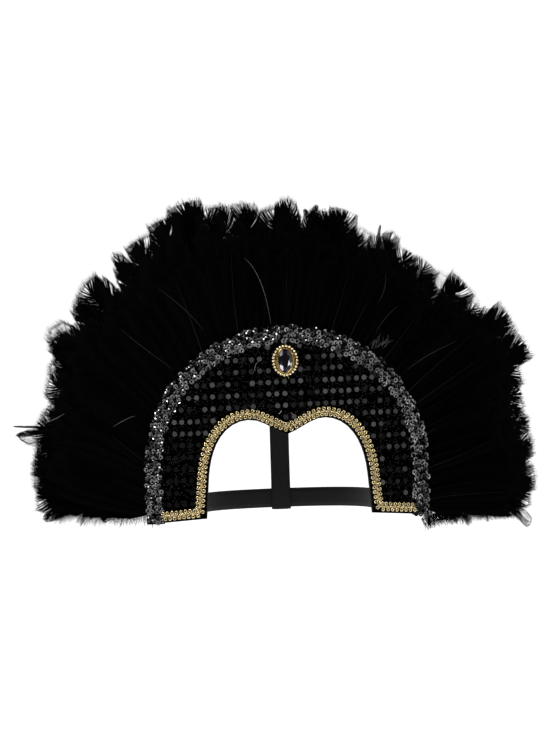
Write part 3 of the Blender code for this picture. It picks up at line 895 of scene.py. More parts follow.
def cotton_tape():
    """Black cotton tape: a plain weave, matt."""
    made, tree, shader = new_material("cotton_tape", "#101011", 0.9)
    place = add(tree, "ShaderNodeUVMap", {"uv_map": "flat"})
    weave = add(tree, "ShaderNodeTexChecker", None, {"Vector": place, "Scale": 1 / (0.6 * MM)})
    bump_from(tree, shader, weave.outputs[1], 0.5, 0.12 * MM)
    return made


# Pieces


def bent_at(w):
    """The bend of a sheet that lies at one distance out of the board's back."""
    return lambda u, v, across: wrap(u, v, w)


def cloth_sheet():
    """The sequin cloth, stretched over the board."""
    low = mirrored(opening_half(CLOTH_INSET))
    high = mirrored(outer_half(CLOTH_INSET, LEG_END_V + CLOTH_INSET))
    place = bent_at(CLOTH_W + CLOTH_THICK)
    made = sheet_between("sequin_cloth_knit", low, high, 160, 20, place, CLOTH_THICK)
    finish_piece(made, stretch_knit(), "sequin_cloth", "sequin_cloth")


def disc_piece(name, radius, dull):
    """A flat round sequin with an embossed ring; its last argument is the painted shade that darkens the
    painted sheen of its film.
    """
    shape = bmesh.new()
    # Share of the radius, height in mm
    profile = ((1.0, 0.00), (1.0, 0.12), (0.62, 0.16), (0.34, 0.10))
    bridge(shape, rings_round(shape, radius, profile, MM, 12))
    layer = shape.verts.layers.float.new("dull")
    for vert in shape.verts:
        vert[layer] = dull
    return from_bmesh(name, shape, smooth=False)


def inside(flat, low, high):
    """Whether a place lies between the face opening's edge and the trim, with room to spare."""
    over = (flat.x / high[0]) ** 2 + (max(0.0, flat.y - ARCH_CENTRE_V) / high[1]) ** 2 < 1.0
    if not over or flat.y < LEG_END_V + 0.012:
        return False
    for a, b in zip(low, low[1:]):
        if min(a.x, b.x) - 1e-9 <= abs(flat.x) <= max(a.x, b.x) + 1e-9 and a.x != b.x:
            floor = mix(a.y, b.y, (abs(flat.x) - a.x) / (b.x - a.x))
            if flat.y < floor:
                return False
    return True


def cloth_dots(sizes, look):
    """Flat sequins heat-set on the cloth in rows, some askew, some darkened by painted shade, most of those
    on the left leg.
    """
    dice = random.Random(21)
    shelf = shelf_of("dot_shelf", [(disc_piece, f"dot_{k}", sizes.dot_size / 2, k / 3) for k in range(4)])
    margin = sizes.dot_size / 2
    low = opening_half(BRAID_LIP + BRAID_WIDTH + margin * 0.4)
    wide = CROWN_HALF_WIDTH - TRIM_WIDTH + TRIM_OVERHANG - margin * 0.3
    rise = ARCH_RISE - TRIM_WIDTH + TRIM_OVERHANG - margin * 0.3
    slope = math.tan(math.radians(sizes.dot_row_tilt))
    places = []
    rows = int(DOT_SPAN / sizes.dot_rise)
    columns = int(DOT_SPAN / sizes.dot_pitch)
    for row in range(-rows, rows):
        for column in range(-columns, columns):
            u = column * sizes.dot_pitch - 1.0 * MM + dice.uniform(-DOT_STRAY, DOT_STRAY) * MM
            v = row * sizes.dot_rise + 5.4 * MM + slope * u + dice.uniform(-DOT_STRAY, DOT_STRAY) * MM
            jewel = (u / (SETTING_HALF_WIDTH + DOT_CLEARANCE)) ** 2
            jewel += ((v - JEWEL_V) / (SETTING_HALF_HEIGHT + DOT_CLEARANCE)) ** 2
            if not inside(Vector((u, v)), low, (wide, rise)) or jewel < 1 or dice.random() < DOTS_LOST:
                continue
            # Painted shade: each dot's painted sheen is darkened by where it sits, most on the lower left
            # leg and a little on the right side, and by a random share
            worn = 0.95 * ease((-u / MM - 60) / 50) * ease((5 - v / MM) / 30)
            worn += 0.15 * ease((u / MM - 60) / 40)
            kind = min(3, int(4 * min(0.99, worn + 0.62 * dice.random() ** 1.3)))
            lean = Vector([dice.uniform(-0.05, 0.05) for axis in "xyz"])
            turn = facing(Vector((0, 0, 1)), outward(u) + lean)
            size = dice.uniform(0.94, 1.03)
            spot = wrap(u, v, CLOTH_W + CLOTH_THICK + 0.05 * MM)
            places.append((spot, turn, (size, size, 1.0), kind))
    points = points_object("sequin_dots", places)
    finish = set_film(look.dot_colour)
    made = grow(points, on_points_tree(), {"Pieces": shelf, "Finish": finish})
    drop(*shelf.objects)
    finish_piece(made, finish, "sequin_cloth")


def cup_sequin(radius):
    """A cup sequin: a dished, faceted ring of film with a punched hole."""
    shape = bmesh.new()
    # Share of the radius, height in shares of the radius, round the film's section
    profile = ((0.34, 0.00), (0.66, 0.07), (1.00, 0.20), (0.66, 0.12), (0.34, 0.06))
    sides = 10
    rings = rings_round(shape, radius, profile, radius, sides)
    bridge(shape, rings + rings[:1], capped=False)
    bmesh.ops.recalc_face_normals(shape, faces=shape.faces)
    made = from_bmesh("cup_sequin", shape)
    # The rim and the hole keep sharp edges, so that the dish between them shades smoothly
    sharp = made.data.attributes.new("sharp_edge", "BOOLEAN", "EDGE")
    for edge in made.data.edges:
        rows = {vert // sides for vert in edge.vertices}
        sharp.data[edge.index].value = rows in ({0}, {2})
    return made


def trim_pieces(sizes, look):
    """The trim: a band of stretch net with cup sequins sewn on all over, tilted every way."""

    def puffed(lift):
        return lambda u, v, across: wrap(u, v, TOPPING_W + lift * (1 - (2 * across - 1) ** 4))

    low = mirrored(outer_half(TRIM_WIDTH - TRIM_OVERHANG))
    high = mirrored(outer_half(-TRIM_OVERHANG))
    band = sheet_between("trim_band", low, high, 200, 6, puffed(1.0 * MM), 0.6 * MM)
    finish_piece(band, stretch_knit(), "black_sequins", "sequin_trim")
    middle = mirrored(outer_half(TRIM_WIDTH / 2 - TRIM_OVERHANG))
    length_of(middle)
    low = mirrored(outer_half(TRIM_WIDTH - TRIM_OVERHANG - 1.6 * MM))
    high = mirrored(outer_half(-TRIM_OVERHANG + 0.9 * MM))
    ground = sheet_between("trim_sequins", low, high, 120, 6, puffed(1.2 * MM))
    piece = cup_sequin(sizes.sequin_size / 2)
    finish = film_sequin(look.sequin_colour)
    values = {"Piece": piece, "Least distance": sizes.sequin_gap, "Density": 250000.0}
    values.update({"Tilt": math.radians(sizes.sequin_tilt), "Lift": 1.0 * MM})
    made = grow(ground, over_band_tree(), {**values, "Seed": sizes.seed, "Finish": finish})
    drop(piece)
    finish_piece(made, finish, "black_sequins")


def braid_unit(pitch):
    """One pitch of the gimp: a round curl on each side, half a pitch apart, and the plait between."""
    shape = bmesh.new()
    half = BRAID_WIDTH / 2
    curl = 1.50 * MM
    thick = 0.80 * MM
    for middle, side in ((-pitch / 4, 1), (pitch / 4, -1)):
        points = []
        for k in range(15):
            turn = math.radians(-120 + 440 * k / 14)
            size = curl * mix(1.06, 0.80, k / 14)
            x = middle + size * math.cos(turn)
            y = side * (half - curl - thick * 0.8 + size * math.sin(turn))
            points.append(Vector((x, y, thick + 0.75 * MM * k / 14)))
        sweep(shape, points, lambda share: thick * mix(1.0, 0.8, share), 7)
        for shift in (-0.6, 0.6):
            points = []
            for share in (k / 6 for k in range(7)):
                x = middle + (shift + side * mix(-1.2, 1.2, share)) * MM
                z = thick + (0.7 * math.sin(math.pi * share) + 0.15 * side) * MM
                points.append(Vector((x, side * mix(-1.3, 1.5, share) * MM, z)))
            sweep(shape, points, lambda share: 0.48 * MM, 5)
    bmesh.ops.recalc_face_normals(shape, faces=shape.faces)
    return from_bmesh("braid_unit", shape)


def braid_path():
    """The middle of the braid, along the left foot, up and over the brows, and down the right side."""
    inset = BRAID_LIP + BRAID_WIDTH / 2
    half = opening_half(inset)
    end_u = CROWN_HALF_WIDTH - TRIM_WIDTH + TRIM_OVERHANG - 0.5 * MM
    slope = (LEG_END_V - OPENING_END_V) / (CROWN_HALF_WIDTH - OPENING_HALF_WIDTH)
    end = Vector((end_u, half[0].y + slope * (end_u - half[0].x)))
    foot = [mix(end, half[0], k / 12) for k in range(12)]
    return mirrored(foot + half)


def braid_pieces(sizes, look):
    """Gold gimp braid, glued along the crown's lower edge."""
    unit = braid_unit(sizes.braid_pitch)
    path = path_object("gold_braid_loops", evenly(braid_path(), 400), TOPPING_W)
    finish = lurex_thread(look.braid_colour)
    values = {"Piece": unit, "Spacing": sizes.braid_pitch, "Lift": 0.1 * MM, "Turn": math.radians(3.0)}
    made = grow(path, along_path_tree(), {**values, "Seed": sizes.seed, "Finish": finish})
    drop(unit)
    finish_piece(made, finish, "gold_braid", "gold_braid")


def oval(half_width, half_height, count):
    """Points round an upright oval."""
    return [Vector((half_width * math.cos(turn), half_height * math.sin(turn))) for turn in turns(count)]


def jewel_setting(finish):
    """The stamped cup: a flange under the beads, a bevelled collar and a lip over the stone's edge."""
    shape = bmesh.new()
    rings = []
    for outset, height in CUP_PROFILE:
        spots = oval(STONE_HALF_WIDTH + outset * MM, STONE_HALF_HEIGHT + outset * MM, 72)
        y = FOREHEAD_Y - TOPPING_W - height * MM
        rings.append([shape.verts.new((spot.x, y, JEWEL_V + spot.y)) for spot in spots])
    bridge(shape, rings + rings[:1], capped=False)
    bmesh.ops.recalc_face_normals(shape, faces=shape.faces)
    finish_piece(from_bmesh("jewel_cup", shape), finish, "gilt_beads", "gem_setting")


def jewel_beads(finish):
    """The rim of round beads."""
    flats = [Vector((p.x, p.y + JEWEL_V)) for p in oval(SETTING_HALF_WIDTH, SETTING_HALF_HEIGHT, 120)]
    shape = bmesh.new()
    bmesh.ops.create_uvsphere(shape, u_segments=16, v_segments=10, radius=BEAD_RADIUS)
    bead = from_bmesh("bead", shape)
    around = length_of(flats + flats[:1])
    spacing = around / int(around / (2 * BEAD_RADIUS * BEAD_SPACING))
    path = path_object("jewel_beads", flats, TOPPING_W + SETTING_HEIGHT - BEAD_RADIUS, closed=True)
    values = {"Piece": bead, "Spacing": spacing, "Lift": 0.0, "Turn": 0.0, "Seed": 0, "Finish": finish}
    made = grow(path, along_path_tree(), values)
    made.data.shade_smooth()
    drop(bead)
    finish_piece(made, finish, "gilt_beads")


def jewel_stone(finish):
    """The cut stone: a pointed table, kite and star facets, a girdle and a plain back."""
    shape = bmesh.new()
    for share, height, count, turn, narrow in STONE_RINGS:
        for k in range(count):
            angle = 2 * math.pi * (k + turn) / count
            x = share * narrow * STONE_HALF_WIDTH * math.cos(angle)
            z = share * STONE_HALF_HEIGHT * math.sin(angle) * (1 + 0.25 * (1 - narrow))
            shape.verts.new((x, FOREHEAD_Y - TOPPING_W - height * MM, JEWEL_V + z))
    hull = bmesh.ops.convex_hull(shape, input=shape.verts)
    loose = [v for v in hull["geom_unused"] if isinstance(v, bmesh.types.BMVert)]
    bmesh.ops.delete(shape, geom=loose, context="VERTS")
    bmesh.ops.dissolve_limit(shape, angle_limit=math.radians(1.5), verts=shape.verts, edges=shape.edges)
    bmesh.ops.recalc_face_normals(shape, faces=shape.faces)
    made = from_bmesh("jewel_stone", shape, smooth=False)
    bevel = made.modifiers.new("polish", "BEVEL")
    bevel.width = 0.06 * MM
    bevel.segments = 1
    bake_modifiers(made)
    # Painted reflections: each outer facet gets the lightness listed for its sector, dimmer towards the
    # middle; the table gets none
    shade = made.data.attributes.new("facet", "FLOAT", "FACE")
    for face in made.data.polygons:
        off = face.center - Vector((0, 0, JEWEL_V))
        off = (off.z / STONE_HALF_HEIGHT, off.x / STONE_HALF_WIDTH)
        turn = math.degrees(math.atan2(*off)) % 360
        tone = FACET_PAINTED_GLINTS[int(turn / 360 * len(FACET_PAINTED_GLINTS)) % len(FACET_PAINTED_GLINTS)]
        is_table = -face.normal.y > 0.97
        shade.data[face.index].value = 0.0 if is_table else tone * mix(0.8, 1.0, math.hypot(*off))
    finish_piece(made, finish, "cut_stone", "gem_stone")


def jewel_threads(finish):
    """Gold sewing threads that hold the setting: two at its top and two at its foot."""
    shape = bmesh.new()
    top = SETTING_HALF_HEIGHT + BEAD_RADIUS
    # Where a thread leaves the rim and where it enters the cloth, in mm from the jewel's middle line
    for leave, enter, side in ((-1.6, -2.8, 1), (1.3, 1.5, 1), (-1.4, -0.2, -1), (1.8, 3.4, -1)):
        start = Vector((leave * MM, JEWEL_V + side * (top - 1.6 * MM)))
        end = Vector((enter * MM, JEWEL_V + side * (top + 2.6 * MM)))
        points = []
        for k in range(8):
            flat = mix(start, end, k / 7)
            lift = mix(2.6, -0.3, ease(k / 7)) + 0.8 * math.sin(math.pi * k / 7)
            points.append(wrap(flat.x, flat.y, TOPPING_W + lift * MM))
        sweep(shape, points, lambda share: 0.28 * MM)
    finish_piece(from_bmesh("jewel_threads", shape), finish, "gilt_beads")


def ribbon(name, line, across_axis):
    """A closed elastic along a line of points in space, with its flat length and width as UV."""
    shape = bmesh.new()
    uv = shape.loops.layers.uv.new("flat")
    columns = 4
    last = len(line) - 1
    rings = []
    flats = {}
    run = 0.0
    for k, point in enumerate(line):
        run += (point - line[max(0, k - 1)]).length
        tangent = (line[min(last, k + 1)] - line[max(0, k - 1)]).normalized()
        normal = across_axis.cross(tangent).normalized()
        ring = []
        for side in (1, -1):
            for n in range(columns + 1):
                share = n / columns if side > 0 else 1 - n / columns
                edge = 0.55 if n in (0, columns) else 1.0
                sideways = across_axis * (share - 0.5) * STRAP_WIDTH
                vert = shape.verts.new(point + sideways + normal * side * edge * STRAP_THICK / 2)
                flats[vert] = (run, share * STRAP_WIDTH)
                ring.append(vert)
        rings.append(ring)
    bridge(shape, rings)
    bmesh.ops.recalc_face_normals(shape, faces=shape.faces)
    lay_flat(shape, uv, flats)
    return from_bmesh(name, shape)


def back_strap_line():
    """The level elastic's middle, from leg to leg round the back of the head."""
    w = -GAP - STRAP_THICK / 2
    tab_start = CROWN_HALF_WIDTH - TAPE_INSET - TAPE_WIDTH - SIDE_TAB_TO_TAPE
    tab = [wrap(tab_start - TAB_LENGTH * k / 8, BACK_STRAP_V, w) for k in range(9)]
    lead = (tab[8] - tab[7]).normalized()
    level = Vector((0.0, 0.0, BACK_STRAP_V))
    side_front = Vector((BACK_STRAP_SIDE, tab[8].y + 0.13 * HOLLOW_DEPTH, 0.0)) + level
    back = Vector((0.0, BACK_STRAP_Y, 0.0)) + level
    handle_tab = tab[8] + lead * 0.05 * HOLLOW_DEPTH
    handle_front = side_front - Vector((0.0, 0.08 * HOLLOW_DEPTH, 0.0))
    handle_side = Vector((BACK_STRAP_SIDE * 1.03, mix(side_front.y, back.y, 0.74), 0.0)) + level
    handle_back = Vector((BACK_STRAP_SIDE * 0.64, back.y, 0.0)) + level
    half = tab + bezier(tab[8], handle_tab, handle_front, side_front, count=28)
    half += bezier(side_front, handle_side, handle_back, back, count=64)
    return half + [Vector((-p.x, p.y, p.z)) for p in half[-2::-1]]


def crown_strap_line():
    """The upright elastic's middle, from the crown's back over the head and round the level one."""
    front_y = FOREHEAD_Y + GAP + STRAP_THICK / 2
    inside_y = STRAP_INSIDE_Y
    outside_y = BACK_STRAP_Y + STRAP_THICK + GAP
    pinch_y = inside_y + STRAP_THICK + GAP * 1.4
    fold_radius = (outside_y - inside_y) / 2
    low = BACK_STRAP_V - STRAP_WIDTH / 2
    high = BACK_STRAP_V + STRAP_WIDTH / 2
    meet = high + STRAP_FOLD_LENGTH * 0.6
    tab_top = CROWN_TAB_V + TAB_LENGTH / 2

    def at(y, z):
        return Vector((0.0, y, z))

    tab = [at(front_y, tab_top - TAB_LENGTH * (6 - k) / 6) for k in range(7)]
    top = at(FOREHEAD_Y + 0.29 * HOLLOW_DEPTH, CROWN_STRAP_TOP)
    fall = at(inside_y - 0.025 * HOLLOW_DEPTH, 0.0)
    rise_handle = at(front_y, mix(tab_top, CROWN_STRAP_TOP, 0.68))
    top_front = at(top.y - 0.18 * HOLLOW_DEPTH, CROWN_STRAP_TOP)
    top_back = at(top.y + 0.32 * HOLLOW_DEPTH, CROWN_STRAP_TOP)
    fall_handle = at(fall.y - 0.045 * HOLLOW_DEPTH, 0.6 * CROWN_STRAP_TOP)
    down_handle = at(fall.y + 0.018 * HOLLOW_DEPTH, 0.45 * meet)
    meet_handle = at(inside_y, 0.67 * meet)
    line = tab + bezier(tab[6], rise_handle, top_front, top, count=36)
    line += bezier(top, top_back, fall_handle, fall, count=56)
    line += bezier(fall, down_handle, meet_handle, at(inside_y, meet), count=28)
    line += [at(inside_y, mix(meet, low, k / 8)) for k in range(1, 9)]
    for k in range(1, 17):
        turn = math.pi * k / 16
        y = inside_y + fold_radius * (1 - math.cos(turn))
        line.append(at(y, low - fold_radius * math.sin(turn)))
    line += [at(outside_y, mix(low, high, k / 6)) for k in range(1, 7)]
    close = (at(outside_y, mix(high, meet, 0.6)), at(pinch_y, mix(high, meet, 0.5)))
    line += bezier(at(outside_y, high), *close, at(pinch_y, meet), count=8)
    return line + [at(pinch_y, mix(meet, high + STRAP_FOLD_LENGTH, k / 3)) for k in range(1, 4)]


def strap_pieces():
    """Both elastics, and the black stitches that close the upright one's loop and hold its end."""
    elastic = ribbed_elastic()
    line = back_strap_line()
    back = ribbon("level_elastic", line, Vector((0, 0, 1)))
    finish_piece(back, elastic, "black_elastic", "back_strap")
    length_of(line)
    line = crown_strap_line()
    crown = ribbon("upright_elastic", line, Vector((1, 0, 0)))
    finish_piece(crown, elastic, "black_elastic", "crown_strap")
    flat = (length_of(line), STRAP_WIDTH)
    loop_y = STRAP_INSIDE_Y - STRAP_THICK / 2 - 0.1 * MM
    loop_z = BACK_STRAP_V + STRAP_WIDTH / 2 + STRAP_FOLD_LENGTH * 0.75
    tab_y = FOREHEAD_Y + GAP + STRAP_THICK + 0.1 * MM
    # Each stitch is its place and the way out of the cloth
    places = []
    for k in range(9):
        x = mix(-7.0, 7.0, k / 8) * MM
        places.append((Vector((x, loop_y, loop_z)), Vector((0, -1, 0))))
        for z in (CROWN_TAB_V - 6.0 * MM, CROWN_TAB_V + 6.0 * MM):
            places.append((Vector((x, tab_y, z)), Vector((0, 1, 0))))
    stitches(places)


def stitches(places):
    """Short black stitches: a closed, bent thread at each place, lying level."""
    shape = bmesh.new()
    for spot, out in places:
        along = Vector((0, 0, 1)).cross(out).normalized()
        points = []
        for k in range(5):
            share = k / 4
            bulge = 0.22 * MM * math.sin(math.pi * share) - 0.1 * MM
            points.append(spot + along * (share - 0.5) * 1.4 * MM + out * bulge)
        sweep(shape, points, lambda share: 0.16 * MM, 5)
    made = from_bmesh("strap_stitches", shape)
    finish_piece(made, spun_thread("polyester_thread", "#1c1c1e"), "black_elastic")


def loose_threads():
    """Ends of sewing thread: a light one and short white ones on the cloth, one of those a painted glint,
    black curls at a corner.
    """
    for number, (u0, v0, u1, v1, height, bow, thick, colour) in enumerate(LOOSE_THREADS):
        start = Vector((u0, v0)) * MM
        end = Vector((u1, v1)) * MM
        across = Vector((start.y - end.y, end.x - start.x)).normalized()
        points = []
        for k in range(13):
            share = k / 12
            flat = mix(start, end, share) + across * math.sin(math.pi * share) * bow * MM
            flat += across * math.sin(3 * math.pi * share) * 0.2 * bow * MM
            lift = height + 0.5 * math.sin(2 * math.pi * share)
            points.append(wrap(flat.x, flat.y, TOPPING_W + lift * MM))
        shape = bmesh.new()
        sweep(shape, points, lambda share: thick / 2 * MM, 5)
        made = from_bmesh(f"loose_thread_{number}", shape)
        finish_piece(made, spun_thread("loose_thread", colour), "black_elastic")


def tape_middle():
    """The middle line of the tapes."""
    return mirrored(outer_half(TAPE_INSET + TAPE_WIDTH / 2))


def row_depth(layer):
    """Where a row's tape starts behind the board, as a distance out of the board's back face."""
    return -GAP - layer * (TAPE_THICK + GAP)


def tape_pieces():
    """The three cotton tapes that the feathers are sewn to, one behind the other."""
    finish = cotton_tape()
    low = mirrored(outer_half(TAPE_INSET + TAPE_WIDTH))
    high = mirrored(outer_half(TAPE_INSET))
    flat = (length_of(tape_middle()), TAPE_WIDTH)
    for layer, row in enumerate(FEATHER_ROWS):
        name = "feather_tape_" + row[0]
        made = sheet_between(name, low, high, 120, 3, bent_at(row_depth(layer)), TAPE_THICK)
        finish_piece(made, finish, "black_feather")


def vane_edge(half_width, flare, roundness):
    """One side of a vane's outline, from its base to the middle of its tip, in mm."""
    wide = half_width * (1 + flare)
    return [
        Vector((0.09 * FULL, 0.38 * half_width)),
        Vector((0.20 * FULL, 0.72 * half_width)),
        Vector((0.55 * FULL, half_width)),
        Vector(((0.93 - 0.12 * roundness) * FULL, wide)),
        Vector(((0.985 - 0.05 * roundness) * FULL, wide * (1 - 0.45 * roundness))),
        Vector((FULL, 0.0)),
    ]


def new_strands():
    """An empty shape whose points carry how near a barb's tip they are and how much they are shaft."""
    shape = bmesh.new()
    return shape, (shape.verts.layers.float.new("tip"), shape.verts.layers.float.new("shaft"))


def barb(shape, layers, bend, root, end, width, dice, profile=VANE_BARB):
    """One barb: a ribbon that leaves the shaft steeply, turns towards the tip and runs out to a hair."""
    middle = Vector((mix(root.x, end.x, 0.30), mix(root.y, end.y, 0.62)))
    lift = dice.uniform(-0.9, 0.9)
    verts = []
    for share, wide in profile:
        one = mix(root, middle, share)
        two = mix(middle, end, share)
        spot = mix(one, two, share)
        ahead = (two - one).normalized()
        side_on = Vector((-ahead.y, ahead.x)) * width * wide / 2
        depth = lift * share * share - 1.6 * (spot.y / 15.0) ** 2
        for side in (1, -1) if wide else (0,):
            vert = shape.verts.new(bend(spot + side_on * side, depth + 0.12 * side))
            vert[layers[0]] = share
            verts.append(vert)
    for k in range(0, len(verts) - 3, 2):
        shape.faces.new((verts[k], verts[k + 1], verts[k + 3], verts[k + 2]))
    shape.faces.new(verts[-3:])


def feather_bend(number):
    """The curve of a feather variant: a function from its flat plane, in mm, to its place."""
    sickle = random.Random(500 + number).uniform(-0.09, 0.09)

    def bend(spot, depth):
        far = spot.x / FULL
        return Vector((spot.x, spot.y + sickle * FULL * far**2, depth + FEATHER_CURVE * FULL * far**2)) * MM

    return bend


def feather_variant(kind, number):
    """A feather 150 mm long: shaft along X, face to Z, barbs, and down at its foot."""
    name, half_width, narrow, flare, roundness, ragged, missing, down, spacing, barb_width, shown = kind
    dice = random.Random(31 + number)
    shape, layers = new_strands()
    bend = feather_bend(number)
    points = [bend(Vector((FULL * 0.97 * k / 12, 0.0)), 0.15) for k in range(13)]
    for ring in sweep(shape, points, lambda share: mix(0.70, 0.10, share**0.6) * MM, 5):
        for vert in ring:
            vert[layers[1]] = shown
    for side in (1, -1):
        edge = vane_edge(half_width * (1.0 if side > 0 else narrow), flare, roundness)
        splits = sorted(dice.uniform(0.1, 1.0) for k in range(4)) + [1.0]
        at = 0.0
        while at < 1.0:
            low = max([0.0] + [s for s in splits if s <= at])
            high = min(s for s in splits if s > at)
            pulled = mix(at, (low + high) / 2, 0.05 + 0.07 * dice.random())
            at += spacing / (FULL * 0.93) * dice.uniform(0.8, 1.2)
            if dice.random() < missing or (name in ("downy", "wispy") and at < 0.35):
                continue
            root = Vector((FULL * mix(0.03, 0.93, min(1.0, at) ** 1.12), 0.0))
            end = walk(edge, min(1.0, pulled))
            end = root + (end - root) * (1 + dice.gauss(0, ragged) + 0.08 * dice.random() ** 2)
            end.y *= side
            barb(shape, layers, bend, root, end, barb_width, dice)
    for k in range(down):
        root = Vector((FULL * dice.uniform(0.05, 0.20), 0.0))
        side = dice.choice((1, -1))
        run = dice.uniform(7, 15)
        turn = math.radians(dice.uniform(25, 75)) * side
        end = root + Vector((math.cos(turn), math.sin(turn))) * run
        barb(shape, layers, bend, root, end, 0.4, dice, DOWN_BARB)
    return from_bmesh(f"feather_{number:02d}", shape)


def fringe_variant(kind, number):
    """The hairs past the edge of a feather's outer half, on the same curve as the feather."""
    half_width, narrow, flare, roundness = kind[1:5]
    dice = random.Random(131 + number)
    shape, layers = new_strands()
    bend = feather_bend(number)
    for side in (1, -1):
        edge = vane_edge(half_width * (1.0 if side > 0 else narrow), flare, roundness)
        for k in range(HAIRS):
            spot = walk(edge, mix(0.50, 1.0, (k + dice.random()) / HAIRS))
            out = (spot - Vector((FULL * 0.70, 0.0))).normalized()
            out = Vector((out.x + 0.3, out.y + dice.gauss(0, 0.22))).normalized()
            root = spot - out * 3.0
            end = spot + out * (3.0 + 5.5 * dice.random() ** 1.3)
            root.y *= side
            end.y *= side
            barb(shape, layers, bend, root, end, 0.22, dice, HAIR)
    return from_bmesh(f"fringe_{number:02d}", shape)


def down_variant(number):
    """A tuft of fine loose barbs, fanned out along X, thicker in every second variant."""
    dice = random.Random(301 + number)
    width = 0.24 if number % 2 else 0.13
    shape, layers = new_strands()

    def bend(spot, depth):
        return Vector((spot.x, spot.y, depth)) * MM

    for k in range(26):
        turn = math.radians(dice.gauss(0, 20))
        run = DOWN_LENGTH * dice.uniform(0.5, 1.0)
        root = Vector((0.0, dice.uniform(-3.5, 3.5)))
        end = root + Vector((math.cos(turn), math.sin(turn))) * run
        barb(shape, layers, bend, root, end, width, dice, DOWN_BARB)
    return from_bmesh(f"down_{number:02d}", shape)


def feather_root(share, layer):
    """Where a feather is sewn into its tape."""
    flat = walk(tape_middle(), share)
    return wrap(flat.x, flat.y, row_depth(layer) - TAPE_THICK / 2), flat


def feather_place(angle, reach, layer, lean, twist, wide, kind, shift):
    """Position, turn, size and kind of a feather that ends at an angle and a reach on the fan."""
    share = (FAN_END - angle) / (FAN_END - FAN_START) + shift
    root, root_flat = feather_root(max(0.026, min(0.984, share)), layer)
    tip_flat = fan_place(angle, reach)
    run = wrap(tip_flat.x, tip_flat.y, row_depth(layer)) - root
    face = (outward(root_flat.x) + outward(tip_flat.x)).normalized()
    if lean < 0:
        face = -face
    turn = facing(run, Matrix.Rotation(twist, 3, run) @ face)
    depth = max(0.1, abs(lean) * MM / (FEATHER_CURVE * FEATHER_LENGTH))
    return root, turn, (run.length / FEATHER_LENGTH, wide, depth), kind


def row_places(row, layer, dice):
    """Every feather of a row, left to right."""
    name, count, reach_share, lean, spread = row
    places = []
    for k in range(count):
        kind = dice.choice((0, 0, 1, 1, 3, 4, 4, 5))
        if name == "back":
            angle, reach, kind = FAN_TIPS[k // 2]
            reach = (reach - 2.0) * MM
            if k % 2:
                kind = dice.choice((0, 0, 1, 4, 6))
                angle = mix(angle, FAN_TIPS[min(k // 2 + 1, len(FAN_TIPS) - 1)][0], dice.uniform(0.4, 0.6))
                reach = fan_reach(angle) * dice.uniform(0.95, 0.985)
        else:
            angle = mix(FAN_END - 4.0, FAN_START + 1.5, (k + dice.uniform(-0.3, 0.3)) / (count - 1))
            reach = fan_reach(angle) * reach_share * (1 + dice.uniform(-spread, spread))
        tilt = lean + dice.uniform(-4.0, 4.0)
        twist = math.radians(dice.uniform(-9, 9))
        wide = dice.uniform(0.85, 1.12)
        kind = kind * VARIANTS_EACH + dice.randrange(VARIANTS_EACH)
        shift = dice.uniform(-0.006, 0.006)
        places.append(feather_place(angle, reach, layer, tilt, twist, wide, kind, shift))
    return places


def shelf_of(name, makers):
    """A collection that holds variants of one shape, for Geometry Nodes to pick from."""
    shelf = bpy.data.collections.new(name)
    for make, *values in makers:
        made = make(*values)
        bpy.context.scene.collection.objects.unlink(made)
        shelf.objects.link(made)
    return shelf


def feather_pieces(sizes, look):
    """The three rows of feathers, in halves, the fringe on the rim and the down on the lower edges."""
    dice = random.Random(sizes.seed)
    finish = dyed_feather("dyed_feather", look.feather_colour)
    tree = on_points_tree()
    kinds = [(FEATHER_KINDS[k // VARIANTS_EACH], k) for k in range(len(FEATHER_KINDS) * VARIANTS_EACH)]
    shelf = shelf_of("feather_shelf", [(feather_variant, *kind) for kind in kinds])
    fringe_shelf = shelf_of("fringe_shelf", [(fringe_variant, *kind) for kind in kinds])
    down_shelf = shelf_of("down_shelf", [(down_variant, k) for k in range(DOWN_VARIANTS)])

    def grown(name, places, pieces, *node):
        made = grow(points_object(name, places), tree, {"Pieces": pieces, "Finish": finish})
        finish_piece(made, finish, "black_feather", *node)

    for layer, row in enumerate(FEATHER_ROWS):
        places = row_places(row, layer, dice)
        if row[0] == "back":
            places += stray_places()
            grown("feather_fringe", places, fringe_shelf)
        for side, is_left in (("left", True), ("right", False)):
            half = [place for place in places if (place[0].x < 0) == is_left]
            grown(f"feathers_{row[0]}_{side}", half, shelf, "feather_row_" + row[0])
    grown("feather_down", down_places(dice), down_shelf)
    drop(*shelf.objects, *fringe_shelf.objects, *down_shelf.objects)


